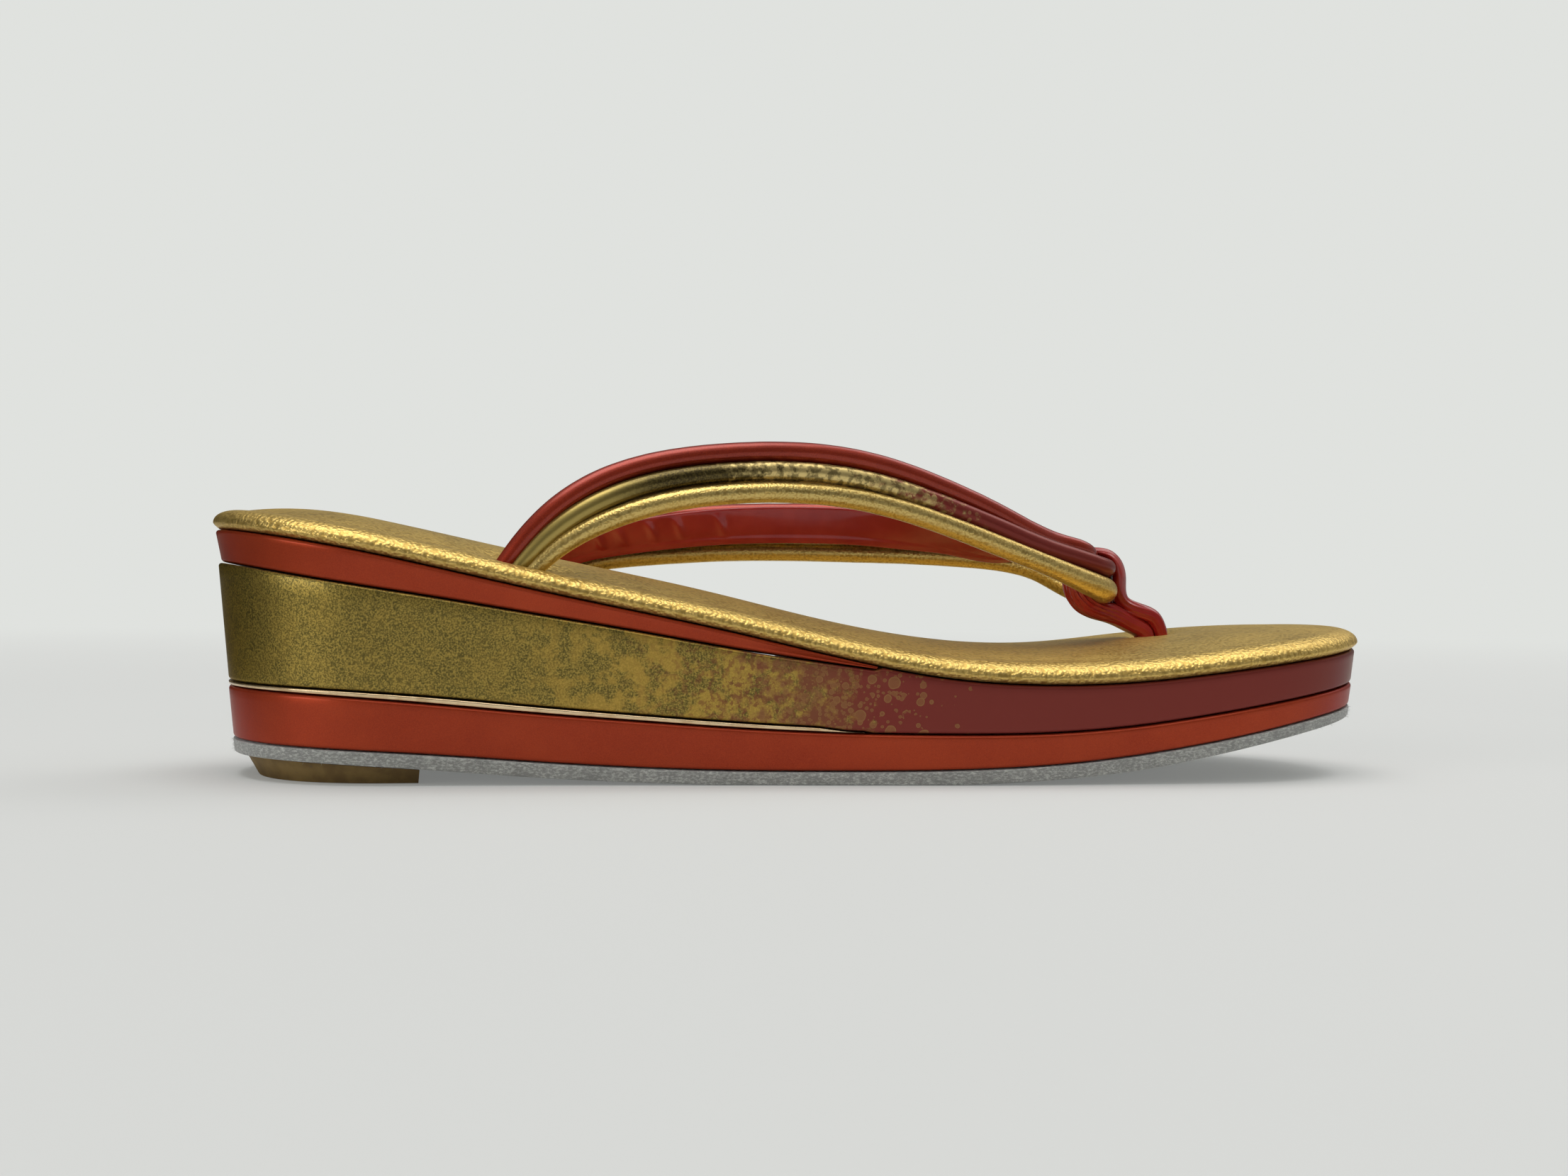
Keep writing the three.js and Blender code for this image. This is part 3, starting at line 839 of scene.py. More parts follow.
@dataclass(frozen=True)
class FadingEnamel(Finish):
    """Enamel that goes from metallic gold at the heel through flecks and splats to maroon.

    Each span says between which places, from the heel end, one look gives way to the next.
    """

    gold: Color = (0.42, 0.30, 0.066)
    grain: Color = (0.12, 0.095, 0.026)
    patch: Color = (0.55, 0.35, 0.066)
    brown: Color = (0.20, 0.070, 0.034)
    maroon: Color = (0.19, 0.033, 0.026)
    splat: Color = (0.31, 0.165, 0.060)
    glint: Color = (0.42, 0.34, 0.24)
    grain_mm: float = 0.34
    patch_mm: float = 4.2
    fleck_mm: float = 1.1
    splat_mm: tuple[float, ...] = (3.2, 1.9, 1.1)
    patch_span: tuple[float, float] = (48.0, 82.0)
    fleck_span: tuple[float, float] = (70.0, 104.0)
    gold_ends: tuple[float, float] = (96.0, 122.0)
    maroon_span: tuple[float, float] = (108.0, 130.0)
    splats_end: tuple[float, float] = (112.0, 146.0)

    def dress(self, r: Recipe) -> None:
        """Lays the gold with its patches and flecks, then the maroon with its splats.

        Args:
            r: the material in the making.
        """
        even = r.effect(Effect.PLACE, wobble=22.0, scale=150.0)["At"]
        ragged = r.effect(Effect.PLACE, wobble=85.0, scale=420.0)["At"]
        gone = r.between(ragged, *self.gold_ends)
        grain = r.effect(Effect.FLAKES, size_mm=self.grain_mm, low=0.38, high=0.66)
        patches = r.effect(Effect.FLAKES, size_mm=self.patch_mm, low=0.44, high=0.58)["Mask"]
        fine = r.effect(Effect.FLAKES, size_mm=self.fleck_mm, low=0.50, high=0.60)["Mask"]
        metal = r.mix(grain["Mask"], self.grain, self.gold)
        lit = r.math("MULTIPLY", patches, r.between(even, *self.patch_span, 0.10, 0.62))
        metal = r.mix(lit, metal, self.patch)
        flecks = r.math("MULTIPLY", fine, r.between(even, *self.fleck_span, 0.0, 0.75))
        metal = r.mix(flecks, metal, self.brown)
        under = r.mix(r.between(even, *self.maroon_span), self.brown, self.maroon)
        share = r.between(even, *self.splats_end, 0.8, 0.0)
        spots = 0.0
        for size in self.splat_mm:
            drops = r.effect(Effect.SPLATS, size_mm=size, share=share, size=0.40)
            hollow = r.math("MULTIPLY_ADD", drops["Ring"], 0.38, 0.44)
            spots = r.math("MAXIMUM", spots, r.math("MULTIPLY", drops["Mask"], hollow))
        spots = r.math("MULTIPLY", spots, gone)
        color = r.mix(spots, r.mix(gone, metal, under), self.splat)
        shine = r.math("MAXIMUM", r.math("SUBTRACT", 1.0, gone), spots)
        r.set(base_color=color, metallic=r.math("MULTIPLY_ADD", shine, 0.45, 0.45))
        r.set(roughness=r.math("MULTIPLY_ADD", shine, 0.08, 0.32), specular_ior_level=0.25)
        r.set(coat_weight=0.1, coat_roughness=0.16, specular_tint=self.glint)
        r.bump(spots, 0.02, r.bump(grain["Height"], 0.010))


@dataclass(frozen=True)
class Foil(Finish):
    """The bright metallic strip between the layers."""

    ground: Color = (0.80, 0.62, 0.38)
    dull: Color = (0.45, 0.28, 0.12)

    def dress(self, r: Recipe) -> None:
        """Dulls the foil in clouds.

        Args:
            r: the material in the making.
        """
        cloud = r.effect(Effect.WEAR, cloud=300.0, marks=1500.0)["Cloud"]
        color = r.mix(r.between(cloud, 0.4, 0.75, 0.0, 0.6), self.ground, self.dull)
        r.set(base_color=color, metallic=0.95, roughness=0.24)
        r.bump(cloud, 0.03)


@dataclass(frozen=True)
class SplitLeather(Finish):
    """Grey fibrous split leather of the outsole."""

    ground: Color = (0.24, 0.245, 0.225)
    light: Color = (0.52, 0.53, 0.49)
    dark: Color = (0.17, 0.175, 0.16)

    def dress(self, r: Recipe) -> None:
        """Lays pale fibres along the edge over a cloudy ground.

        Args:
            r: the material in the making.
        """
        drawn_out = {"Vector": r.place, "Scale": (0.45, 0.45, 1.0)}
        fibres = r.noise(r.node("ShaderNodeMapping", drawn_out).outputs[0], 0.35, 4.0, 0.7)
        cloud = r.noise(r.place, 3.0, 3.0)
        color = r.mix(r.between(fibres, 0.42, 0.68), self.ground, self.light)
        color = r.mix(r.between(cloud, 0.4, 0.7, 0.0, 0.4), color, self.dark)
        r.set(base_color=color, roughness=0.95, sheen_weight=0.4, sheen_roughness=0.6)
        r.bump(fibres, 0.12)


@dataclass(frozen=True)
class TapRubber(Finish):
    """Brownish gold rubber under the heel."""

    ground: Color = (0.17, 0.105, 0.034)
    pale: Color = (0.26, 0.17, 0.055)
    mark: Color = (0.12, 0.1, 0.07)

    def dress(self, r: Recipe) -> None:
        """Clouds the rubber and adds a few dark marks.

        Args:
            r: the material in the making.
        """
        wear = r.effect(Effect.WEAR, cloud=220.0, marks=700.0)
        color = r.mix(r.between(wear["Cloud"], 0.35, 0.7), self.ground, self.pale)
        r.set(base_color=r.mix(wear["Marks"], color, self.mark), metallic=0.2, roughness=0.62)
        r.bump(r.noise(r.place, 0.5, 3.0), 0.03)


@dataclass(frozen=True)
class RedPatent(Finish):
    """Glossy red patent leather with soft creases, on the lining and the toe loop."""

    ground: Color = (0.30, 0.011, 0.008)
    bright: Color = (0.36, 0.022, 0.014)
    wrinkle_mm: float = 1.6
    wrinkle_depth_mm: float = 0.05

    def dress(self, r: Recipe) -> None:
        """Lays a glossy coat over wrinkled red.

        Args:
            r: the material in the making.
        """
        cloud = r.effect(Effect.WEAR, cloud=160.0, marks=1200.0)["Cloud"]
        color = r.mix(r.between(cloud, 0.35, 0.7), self.ground, self.bright)
        r.set(base_color=color, roughness=0.34, specular_ior_level=0.2)
        r.set(coat_weight=0.6, coat_roughness=0.10)
        wrinkles = r.bump(r.noise(r.place, self.wrinkle_mm, 3.0), self.wrinkle_depth_mm)
        r.bump(r.noise(r.place, 0.3), 0.006, wrinkles)


@dataclass(frozen=True)
class BronzeEnamel(Finish):
    """The middle roll's enamel: gold, partly a painted sheen, near the heel anchor, dark bronze,
    mottled gold leaf brightened as a painted highlight, then maroon at the toe.
    """

    # Partly the roll's own gold, partly a painted sheen where the roll leaves its heel anchor.
    gold: Color = (0.40, 0.30, 0.085)
    bronze: Color = (0.05, 0.036, 0.012)
    # The leaf's own gold, brightened as a painted highlight.
    leaf: Color = (0.82, 0.63, 0.25)
    maroon: Color = (0.19, 0.028, 0.022)
    glint: Color = (0.5, 0.4, 0.3)
    leaf_mm: float = 1.5
    splat_mm: float = 1.7
    bronze_span: tuple[float, float] = (68.0, 88.0)
    leaf_span: tuple[float, float] = (98.0, 116.0)
    maroon_span: tuple[float, float] = (128.0, 150.0)
    drops_end: tuple[float, float] = (138.0, 158.0)

    def dress(self, r: Recipe) -> None:
        """Lays gold, partly a painted sheen, into bronze, leaf brightened as a painted highlight
        over the bronze and drops over the maroon.

        Args:
            r: the material in the making.
        """
        even = r.effect(Effect.PLACE, wobble=8.0, scale=170.0)["At"]
        ragged = r.effect(Effect.PLACE, wobble=60.0, scale=560.0)["At"]
        grain = r.effect(Effect.FLAKES, scale=2600.0, low=0.4, high=0.64)
        leaf = r.effect(Effect.FLAKES, size_mm=self.leaf_mm, low=0.42, high=0.56)["Mask"]
        drops = r.effect(Effect.SPLATS, size_mm=self.splat_mm, share=0.55, size=0.4)["Mask"]
        # The gold before the bronze span is partly a painted sheen.
        body = r.mix(r.between(even, *self.bronze_span), self.gold, self.bronze)
        body = r.mix(r.math("MULTIPLY", grain["Mask"], 0.22), body, self.gold)
        gone = r.between(ragged, *self.maroon_span)
        body = r.mix(gone, body, self.maroon)
        kept = r.math("SUBTRACT", 1.0, gone)
        leafy = r.math("MULTIPLY", r.between(ragged, *self.leaf_span), kept)
        gilt = r.math("MULTIPLY", r.math("MULTIPLY_ADD", leaf, 0.6, 0.25), leafy)
        spotted = r.math("MULTIPLY", gone, r.between(even, *self.drops_end, 0.6, 0.0))
        gilt = r.math("MAXIMUM", gilt, r.math("MULTIPLY", drops, spotted))
        metal = r.math("MAXIMUM", gilt, r.between(gone, 0.0, 1.0, 0.8, 0.4))
        # The leaf colour carries a painted highlight.
        r.set(base_color=r.mix(gilt, body, self.leaf), metallic=metal, roughness=0.30)
        r.set(specular_ior_level=0.25, specular_tint=self.glint)
        r.set(coat_weight=0.15, coat_roughness=0.14)
        r.bump(gilt, 0.02, r.bump(grain["Height"], 0.012))


@dataclass
class Layer:
    """One layer of the sole, between two lines of the side view."""

    name: str
    end: float = LAST.length
    undercut: float = 0.0
    gap: float = 0.3
    ledge: float = 0.6
    side_taper: float = 0.09
    edge_round: float = 0.7
    turns: int = 6
    side_rows: int = 5

    def build(self, low: Curve, high: Curve) -> Object:
        """Makes the layer.

        Args:
            low: the layer's lower line, from the place after and before a point is set in.
            high: its upper line.

        Returns:
            The layer's mesh object.
        """
        seam = LAST.line("seam")

        def bottom(at: Array, origin: Array) -> Array:
            """Returns the lower face's height."""
            return low(at, origin) + self.gap / 2

        def top(at: Array, origin: Array) -> Array:
            """Returns the upper face's height."""
            return high(at, origin) - self.gap / 2

        def edge(at: Array, origin: Array) -> Array:
            """Returns the radius of the rounded edges."""
            return np.minimum(self.edge_round, (top(at, origin) - bottom(at, origin)) / 3)

        def ring(face: Curve, way: float, more: float, turn: float) -> Array:
            """Makes one ring of a rounded edge.

            Args:
                face: the line of the face that the edge belongs to.
                way: up, 1, from the lower face, or down, -1, from the upper one.
                more: how much further in the whole ring stands.
                turn: how far round the edge it is, from 0 to 1.

            Returns:
                The ring's points.
            """
            angle = turn * math.pi / 2

            def inset(at: Array) -> Array:
                """Returns how far the side stands in."""
                lean = self.ledge + (seam(at) - face(at, at)) * self.side_taper
                return lean + more + edge(at, at) * (1 - math.sin(angle))

            def height(at: Array, origin: Array) -> Array:
                """Returns the ring's height."""
                return face(at, origin) + way * edge(at, origin) * (1 - math.cos(angle))

            return LAST.ring(self.end, inset, height)

        turns = np.linspace(0, 1, self.turns)
        lower = [ring(bottom, 1, self.undercut, turn) for turn in turns]
        upper = [ring(top, -1, 0, turn) for turn in turns[::-1]]
        shares = np.linspace(0, 1, self.side_rows + 2)[1:-1]
        side = [lower[-1] * (1 - share) + upper[0] * share for share in shares]
        return Form().wrap([*lower, *side, *upper]).mesh(self.name)


@dataclass
class Sole:
    """The stack under the cushion: two red layers, the main wedge, the strip and the outsole."""

    top_wedge_end: float = 126.0
    strip_end: float = 124.0
    strip_taper: float = 9.0
    strip_least: float = 0.35
    step_after: float = 0.3
    undercut: float = 0.5
    outsole_edge: float = 0.35
    tap_to: float = 39.5
    tap_inset: float = 7.0
    tap_bevel: float = 2.4
    tap_gap: float = 0.3
    fibres_per_m2: float = 1.1e6
    fibre_mm: tuple[float, float] = (0.9, 0.035)
    fibre_seed: int = 7

    def build(self) -> None:
        """Makes every layer and dresses it."""
        seam, top_wedge, full_strip, mid, sole_top, sole_low = (
            LAST.line(n) for n in ("seam", "top_wedge", "strip", "mid", "sole_top", "sole_low")
        )

        def strip_top(at: Array, _origin: Array | None = None) -> Array:
            """Returns the strip's upper line, which runs out toward the strip's end."""
            left = np.clip((self.strip_end - at) / self.strip_taper, self.strip_least, 1)
            return mid(at) + full_strip(at) * left

        def wedge_low(at: Array, origin: Array) -> Array:
            """Returns the wedge's lower line, over the strip and then over the bottom layer."""
            return np.where(origin > self.strip_end + self.step_after, mid(at), strip_top(at))

        def wedge_high(at: Array, origin: Array) -> Array:
            """Returns the wedge's upper line, under the top wedge and then under the cushion."""
            return np.where(origin > self.top_wedge_end + self.step_after, seam(at), top_wedge(at))

        red = PearlEnamel().build("red_enamel")
        fading = FadingEnamel().build("fading_enamel")
        foil = Foil().build("champagne_foil")
        wedge = Layer("top_wedge_cover", self.top_wedge_end, self.undercut)
        strip = Layer("gold_strip_edge", self.strip_end)
        for node, layer, low, high, finish, slot in (
            ("top_wedge", wedge, top_wedge, seam, red, "red_enamel"),
            ("main_wedge", Layer("main_wedge_cover"), wedge_low, wedge_high, fading, "wedge_enamel"),
            ("gold_strip", strip, mid, strip_top, foil, "champagne_foil"),
            ("bottom_layer", Layer("bottom_layer_cover"), sole_top, mid, red, "red_enamel"),
        ):
            place_piece(layer.build(low, high), finish, slot, node)
        self.build_outsole(sole_top, sole_low)
        self.build_tap(sole_low)

    def build_outsole(self, sole_top: Curve, sole_low: Curve) -> None:
        """Makes the grey outsole, with loose fibres on its cut side.

        Args:
            sole_top: the line over it.
            sole_low: the line of its walking face.
        """
        sole = Layer("outsole_split", edge_round=self.outsole_edge)

        def low(at: Array, _origin: Array) -> Array:
            """Returns the walking face, flat on the floor in the middle."""
            return np.maximum(sole_low(at), 0) - sole.gap / 2

        plain = sole.build(low, sole_top)
        split = SplitLeather().build("split_leather")
        length, thickness = (size * MM for size in self.fibre_mm)
        fibres = {"density": self.fibres_per_m2, "length": length, "thickness": thickness}
        made = Fuzz().apply(plain, sole.name, seed=self.fibre_seed, finish=split, **fibres)
        place_piece(made, split, "split_leather", "outsole")

    def build_tap(self, sole_low: Curve) -> None:
        """Makes the bevelled tap under the heel.

        Args:
            sole_low: the line of the outsole's walking face.
        """

        def ring(inset: float, share: float) -> Array:
            """Makes one ring of the bevelled side.

            Args:
                inset: how far it stands in from the plan.
                share: its height as a share of the tap's.

            Returns:
                The ring's points.
            """

            def height(at: Array, _origin: Array) -> Array:
                """Returns the ring's height under the outsole."""
                return share * (sole_low(at) - self.tap_gap)

            return LAST.ring(self.tap_to, inset, height)

        foot = self.tap_inset + self.tap_bevel
        steps = ((foot + 0.35, 0.0), (foot + 0.08, 0.0), (foot - 0.08, 0.05), (self.tap_inset, 1.0))
        made = Form().wrap([ring(inset, share) for inset, share in steps]).mesh("heel_tap_rubber")
        place_piece(made, TapRubber().build("tap_rubber"), "tap_rubber", "heel_tap")


@dataclass
class Cushion:
    """The padded insole: its cover tucks in over a lip and rises in a dome.

    The toe hole gives its place, its distance out, its reach and how deep it draws the cover
    down. Each anchor of the strap gives the same, with its length for the reach.
    """

    lip_height: float = 1.2
    lip_low: float = 0.15
    lip_tuck: float = 1.2
    lip_shares: tuple[float, ...] = (0.0, 0.3, 0.6, 0.85)
    rim_rows: int = 16
    dome_rows: int = 26
    dome_share: float = 0.985
    toe_hole: tuple[float, float, float, float] = (199.4, 0.0, 4.6, 1.5)
    anchors: tuple[tuple[float, float, float, float], ...] = (
        (60.0, -26.4, 8.5, 1.1),
        (74.0, 26.4, 8.5, 1.1),
    )
    anchor_width: float = 3.6

    def sink(self, at: Array, y: Array) -> Array:
        """Works out how deep the strap and the toe loop draw the cover down.

        Args:
            at: distances from the heel end.
            y: distances from the middle plane.

        Returns:
            The depth at each place.
        """
        hole_at, hole_y, reach, depth = self.toe_hole
        away = ((at - hole_at) / reach) ** 2 + ((y - hole_y) / reach) ** 2
        total = depth * np.exp(-away)
        for place, out, length, drop in self.anchors:
            away = ((at - place) / length) ** 4 + ((y - out) / self.anchor_width) ** 2
            total = total + drop * np.exp(-away)
        return total

    def build(self) -> None:
        """Makes the cushion and dresses it."""
        seam = LAST.line("seam")

        def ring(lift: float, inset: float, share: float, to_axis: float = 0.0) -> Array:
            """Makes one ring of the cover.

            Args:
                lift: how far over the seam it is.
                inset: how far in from the edge.
                share: how much of the cushion's rise comes on top.
                to_axis: how far it is drawn in to the middle line.

            Returns:
                The ring's points.
            """

            def height(at: Array, _origin: Array) -> Array:
                """Returns the ring's height."""
                rise = LAST.cushion_rise(at, np.full_like(at, inset), np.full_like(at, to_axis))
                return seam(at) + lift + rise * share

            return LAST.ring(LAST.length, inset, height, to_axis)

        rings = []
        for share in self.lip_shares:
            lift = self.lip_low + (self.lip_height - self.lip_low) * share
            rings.append(ring(lift, self.lip_tuck * (1 - share) ** 1.5, 0.0))
        for turn in np.linspace(0, 1, self.rim_rows):
            inset = LAST.rim_width * (1 - math.cos(turn * math.pi / 2))
            rings.append(ring(self.lip_height, inset, 1 - self.lip_height / LAST.rim_height))
        for to_axis in np.linspace(0, self.dome_share, self.dome_rows)[1:]:
            rings.append(ring(0.0, LAST.rim_width, 1.0, to_axis))
        form = Form().wrap(rings)
        points = np.array(form.points)
        at = points[:, 0] + LAST.length / 2
        upper = points[:, 2] > seam(at) + self.lip_height
        points[:, 2] -= np.where(upper, self.sink(at, points[:, 1]), 0)
        form.points = list(points)
        made = form.mesh("insole_cover", sharp_deg=70)
        place_piece(made, GoldLeather().build("gold_leather"), "gold_leather", "insole_cushion")


class Side(Enum):
    """The two arms of the strap. The value is the sign of Y."""

    HIGH = -1
    LOW = 1


# The middle roll of each arm: place, distance out, height, slope to the gold roll and slope to
# the red roll in degrees, and diameter.
HIGH_SIDE = (
    (55.6, 26.4, 38.2, 88, 88, 3.3),
    (60.3, 26.6, 44, 86, 84, 3.5),
    (67, 26.4, 49.9, 80, 76, 3.9),
    (80, 25.8, 56.5, 74, 66, 4.1),
    (95, 24.8, 59.7, 70, 62, 4.1),
    (111, 23.2, 60.7, 70, 65, 4.1),
    (128, 21, 59.4, 70, 67, 4.15),
    (143, 18.4, 55.7, 66, 64, 4.2),
    (157.5, 15.2, 50.9, 63, 55, 4.2),
    (171, 11.8, 46.3, 60, 40, 4.2),
)
LOW_SIDE = (
    (68.4, 26.4, 37.4, 86, 86, 3.3),
    (72.4, 26.5, 42, 80, 80, 3.5),
    (78.4, 26, 45.5, 68, 66, 3.8),
    (86, 25.4, 47.5, 62, 62, 4),
    (95, 24.7, 48.6, 63, 66, 4.1),
    (108, 23.6, 49.6, 67, 73, 4.1),
    (128, 21, 50, 69, 76, 4.15),
    (143, 18.4, 49.7, 66, 70, 4.2),
    (157.5, 15.2, 48.9, 58, 50, 4.2),
    (171, 11.8, 47.5, 54, 36, 4.2),
)
# Each lane round the tip: place, distance out, height and diameter. The lining has its slope
# and its width in the diameter's stead.
TIP = {
    "gold": (
        (179, 11.2, 39.8, 4.9),
        (185.2, 7.4, 37.9, 5.4),
        (187.2, 0, 37.7, 5.4),
    ),
    "bronze": (
        (179.2, 9.5, 44.3, 3.9),
        (186, 6.4, 42.6, 3.9),
        (188.1, 0, 42.5, 3.9),
    ),
    "red": (
        (177, 6.4, 47.5, 3.7),
        (182.4, 5.1, 46.1, 3.4),
        (185.1, 0, 44.5, 2.8),
    ),
    "lining": (
        (175, 7.2, 43.4, 30, 5),
        (180.2, 5.4, 41.4, 14, 4),
        (182.6, 0, 40.8, 10, 3.4),
    ),
}
# How much higher the far arm's last two places are than the near arm's.
LOW_SIDE_LIFT = (2.0, 0.3)
# The creases in each arm's lining, near its heel end: place and depth.
CREASES = {
    Side.HIGH: ((66.0, 0.2), (70.5, 0.25), (76.0, 0.2), (84.0, 0.15)),
    Side.LOW: ((82.6, 0.7), (87.3, 0.6), (94.1, 0.6), (100.1, 0.5), (109.1, 0.5)),
}


@dataclass(frozen=True)
class Route:
    """Even stops along a path, each with its place and the columns carried with it."""

    places: Array
    carried: Array

    @staticmethod
    def walk(rows: Array, steps: int) -> "Route":
        """Walks a table of places.

        Args:
            rows: places in the first three columns, other columns after them.
            steps: how many even steps to take.

        Returns:
            The route, every column smooth along it.
        """
        rows = np.asarray(rows, float)
        strides = np.linalg.norm(np.diff(rows[:, :3], axis=0), axis=1)
        knots = np.concatenate([[0], np.cumsum(strides)])
        stops = np.linspace(0, knots[-1], steps + 1)
        walked = np.column_stack([natural_spline(knots, c)(stops) for c in rows.T])
        return Route(walked[:, :3], walked[:, 3:])

    def ways(self) -> tuple[Array, Array, Array]:
        """Works out how the route turns.

        Returns:
            The ways along, inboard and up at each stop, each of length about 1.
        """
        padded = np.vstack([self.places[:1], self.places, self.places[-1:]])
        along = unit(padded[2:] - padded[:-2])
        inboard = np.cross([0, 0, 1], along)
        return along, inboard, np.cross(along, inboard)

    def kept(self, keep: Array) -> "Route":
        """Returns the route with only some of its stops."""
        return Route(self.places[keep], self.carried[keep])


def leaning(inboard: Array, up: Array, degrees: Array) -> Array:
    """Returns the way across the band at a slope from level."""
    angle = np.radians(degrees)[:, None]
    return inboard * np.cos(angle) + up * np.sin(angle)


def placed(table: Sequence[Sequence[float]], sign: int) -> Array:
    """Places the rows of a table on one side of the sandal.

    Args:
        table: rows of place, distance out, height and more.
        sign: the sign of Y on this side.

    Returns:
        Rows of X, Y, Z and more.
    """
    rows = np.array(table, float)
    rows[:, 0] -= LAST.length / 2
    rows[:, 1] *= sign
    return rows


@dataclass
class Strap:
    """The V-shaped strap: three padded rolls side by side on a lining."""

    roll_gap: float = 0.36
    lining_width: float = 8.4
    low_lining_width: float = 8.1
    low_lining_rise: float = 0.15
    lining_wall: float = 1.1
    lining_gap: float = 0.55
    lining_sides: int = 64
    squareness: tuple[float, float] = (0.5, 0.35)
    seam_at: float = -0.5
    seam_half: float = 0.09
    seam_depth: float = 0.14
    crease_half: float = 0.75
    crease_slant: float = 1.2
    anchor_depth: float = 3.2
    coarse_steps: int = 30
    fine_steps: int = 460
    gold: GoldLeather = GoldLeather((0.62, 0.46, 0.155), (0.46, 0.31, 0.09), 0.42, 0.04, 0.30)
    red: PearlEnamel = PearlEnamel((0.25, 0.020, 0.008), (0.20, 0.015, 0.007), 0.34, 0.5, 0.5)
    lanes: dict[str, Route] = field(default_factory=dict)

    def side(self, table: Sequence[Sequence[float]], side: Side) -> dict[str, Array]:
        """Works out one arm's rolls and lining.

        Args:
            table: the middle roll's rows.
            side: which arm.

        Returns:
            Rows of places by lane, in walking order.
        """
        rows = placed(table, side.value)
        route = Route.walk(rows if side is Side.HIGH else rows[::-1], self.coarse_steps)
        along, inboard, up = route.ways()
        low_lean, high_lean, roll = route.carried.T
        pitch = (roll + self.roll_gap)[:, None]
        low = leaning(inboard, up, low_lean)
        high = leaning(inboard, up, high_lean)
        inner = np.cross(high, along)
        under = (roll / 2 + self.lining_gap + self.lining_wall / 2)[:, None]
        lining = route.places + high * pitch / 2 + inner * under
        width = np.full_like(roll, self.lining_width)
        return {
            "bronze": np.column_stack([route.places, roll]),
            "gold": np.column_stack([route.places - low * pitch, roll]),
            "red": np.column_stack([route.places + high * pitch, roll]),
            "lining": np.column_stack([lining, high_lean, width]),
        }

    def lane(self, name: str, high: Array, low: Array) -> Route:
        """Joins both arms of a lane round the tip and cuts off what lies too deep.

        Args:
            name: the lane's name in TIP.
            high: the high arm's rows, toward the tip.
            low: the low arm's rows, away from it.

        Returns:
            The route from anchor to anchor.
        """
        turn = placed(TIP[name], Side.HIGH.value)
        back = placed(TIP[name][:-1], Side.LOW.value)
        back[:, 2] += LOW_SIDE_LIFT
        back = back[::-1]
        rows = np.vstack([high[::3], turn, back, low[::3]])
        route = Route.walk(rows, self.fine_steps)
        x, y, z = route.places.T
        depth = LAST.cushion_top(x + LAST.length / 2, y) - z
        return route.kept(depth < self.anchor_depth)

    def build(self) -> None:
        """Makes the rolls and the lining and dresses them."""
        high = self.side(HIGH_SIDE, Side.HIGH)
        low = self.side(LOW_SIDE, Side.LOW)
        self.lanes = {name: self.lane(name, high[name], low[name]) for name in TIP}
        maker = RollMaker()
        for name, slot, finish in (
            ("gold", "gold_leather", self.gold.build("gold_roll_leather")),
            ("red", "red_enamel", self.red.build("red_roll_enamel")),
            ("bronze", "bronze_enamel", BronzeEnamel().build("bronze_enamel")),
        ):
            made = maker.build(f"{name}_roll_cover", self.lanes[name], finish)
            place_piece(made, finish, slot, f"{name}_roll")
        patent = RedPatent().build("red_patent")
        place_piece(self.lining(), patent, "red_patent", "strap_lining")

    def lining(self) -> Object:
        """Makes the lining: a thin band with soft edges and creases beside its anchors.

        Returns:
            The lining's mesh object.
        """
        route = self.lanes["lining"]
        along, inboard, up = route.ways()
        lean, width = route.carried.T
        across = leaning(inboard, up, lean)
        outer = np.cross(along, across)
        at = route.places[:, 0] + LAST.length / 2
        low_side = smooth_step(route.places[:, 1], 6.0, 14.0)
        width = width - low_side * (self.lining_width - self.low_lining_width)
        places = route.places + across * (low_side * self.low_lining_rise)[:, None]
        turns = np.linspace(0, 2 * math.pi, self.lining_sides, endpoint=False)
        side = signed_power(np.cos(turns), self.squareness[0])
        thick = signed_power(np.sin(turns), self.squareness[1])
        under = np.clip(-thick, 0, 1)
        seam = self.seam_depth * np.exp(-(((side - self.seam_at) / self.seam_half) ** 2))
        middle = np.clip(1 - (side - 0.15) ** 2 / 0.5, 0, 1)
        rings = []
        for i in range(len(at)):
            creases = CREASES[Side.HIGH if route.places[i, 1] < 0 else Side.LOW]
            slanted = at[i] + self.crease_slant * side
            rise = sum(h * np.exp(-(((slanted - c) / self.crease_half) ** 2)) for c, h in creases)
            b = thick * self.lining_wall / 2 - under * (rise * middle - seam)
            a = side * width[i] / 2
            rings.append(places[i] + np.outer(a, across[i]) + np.outer(b, outer[i]))
        form = Form().wrap(rings, (places[0], places[-1]))
        return form.mesh("strap_lining_band", sharp_deg=60)


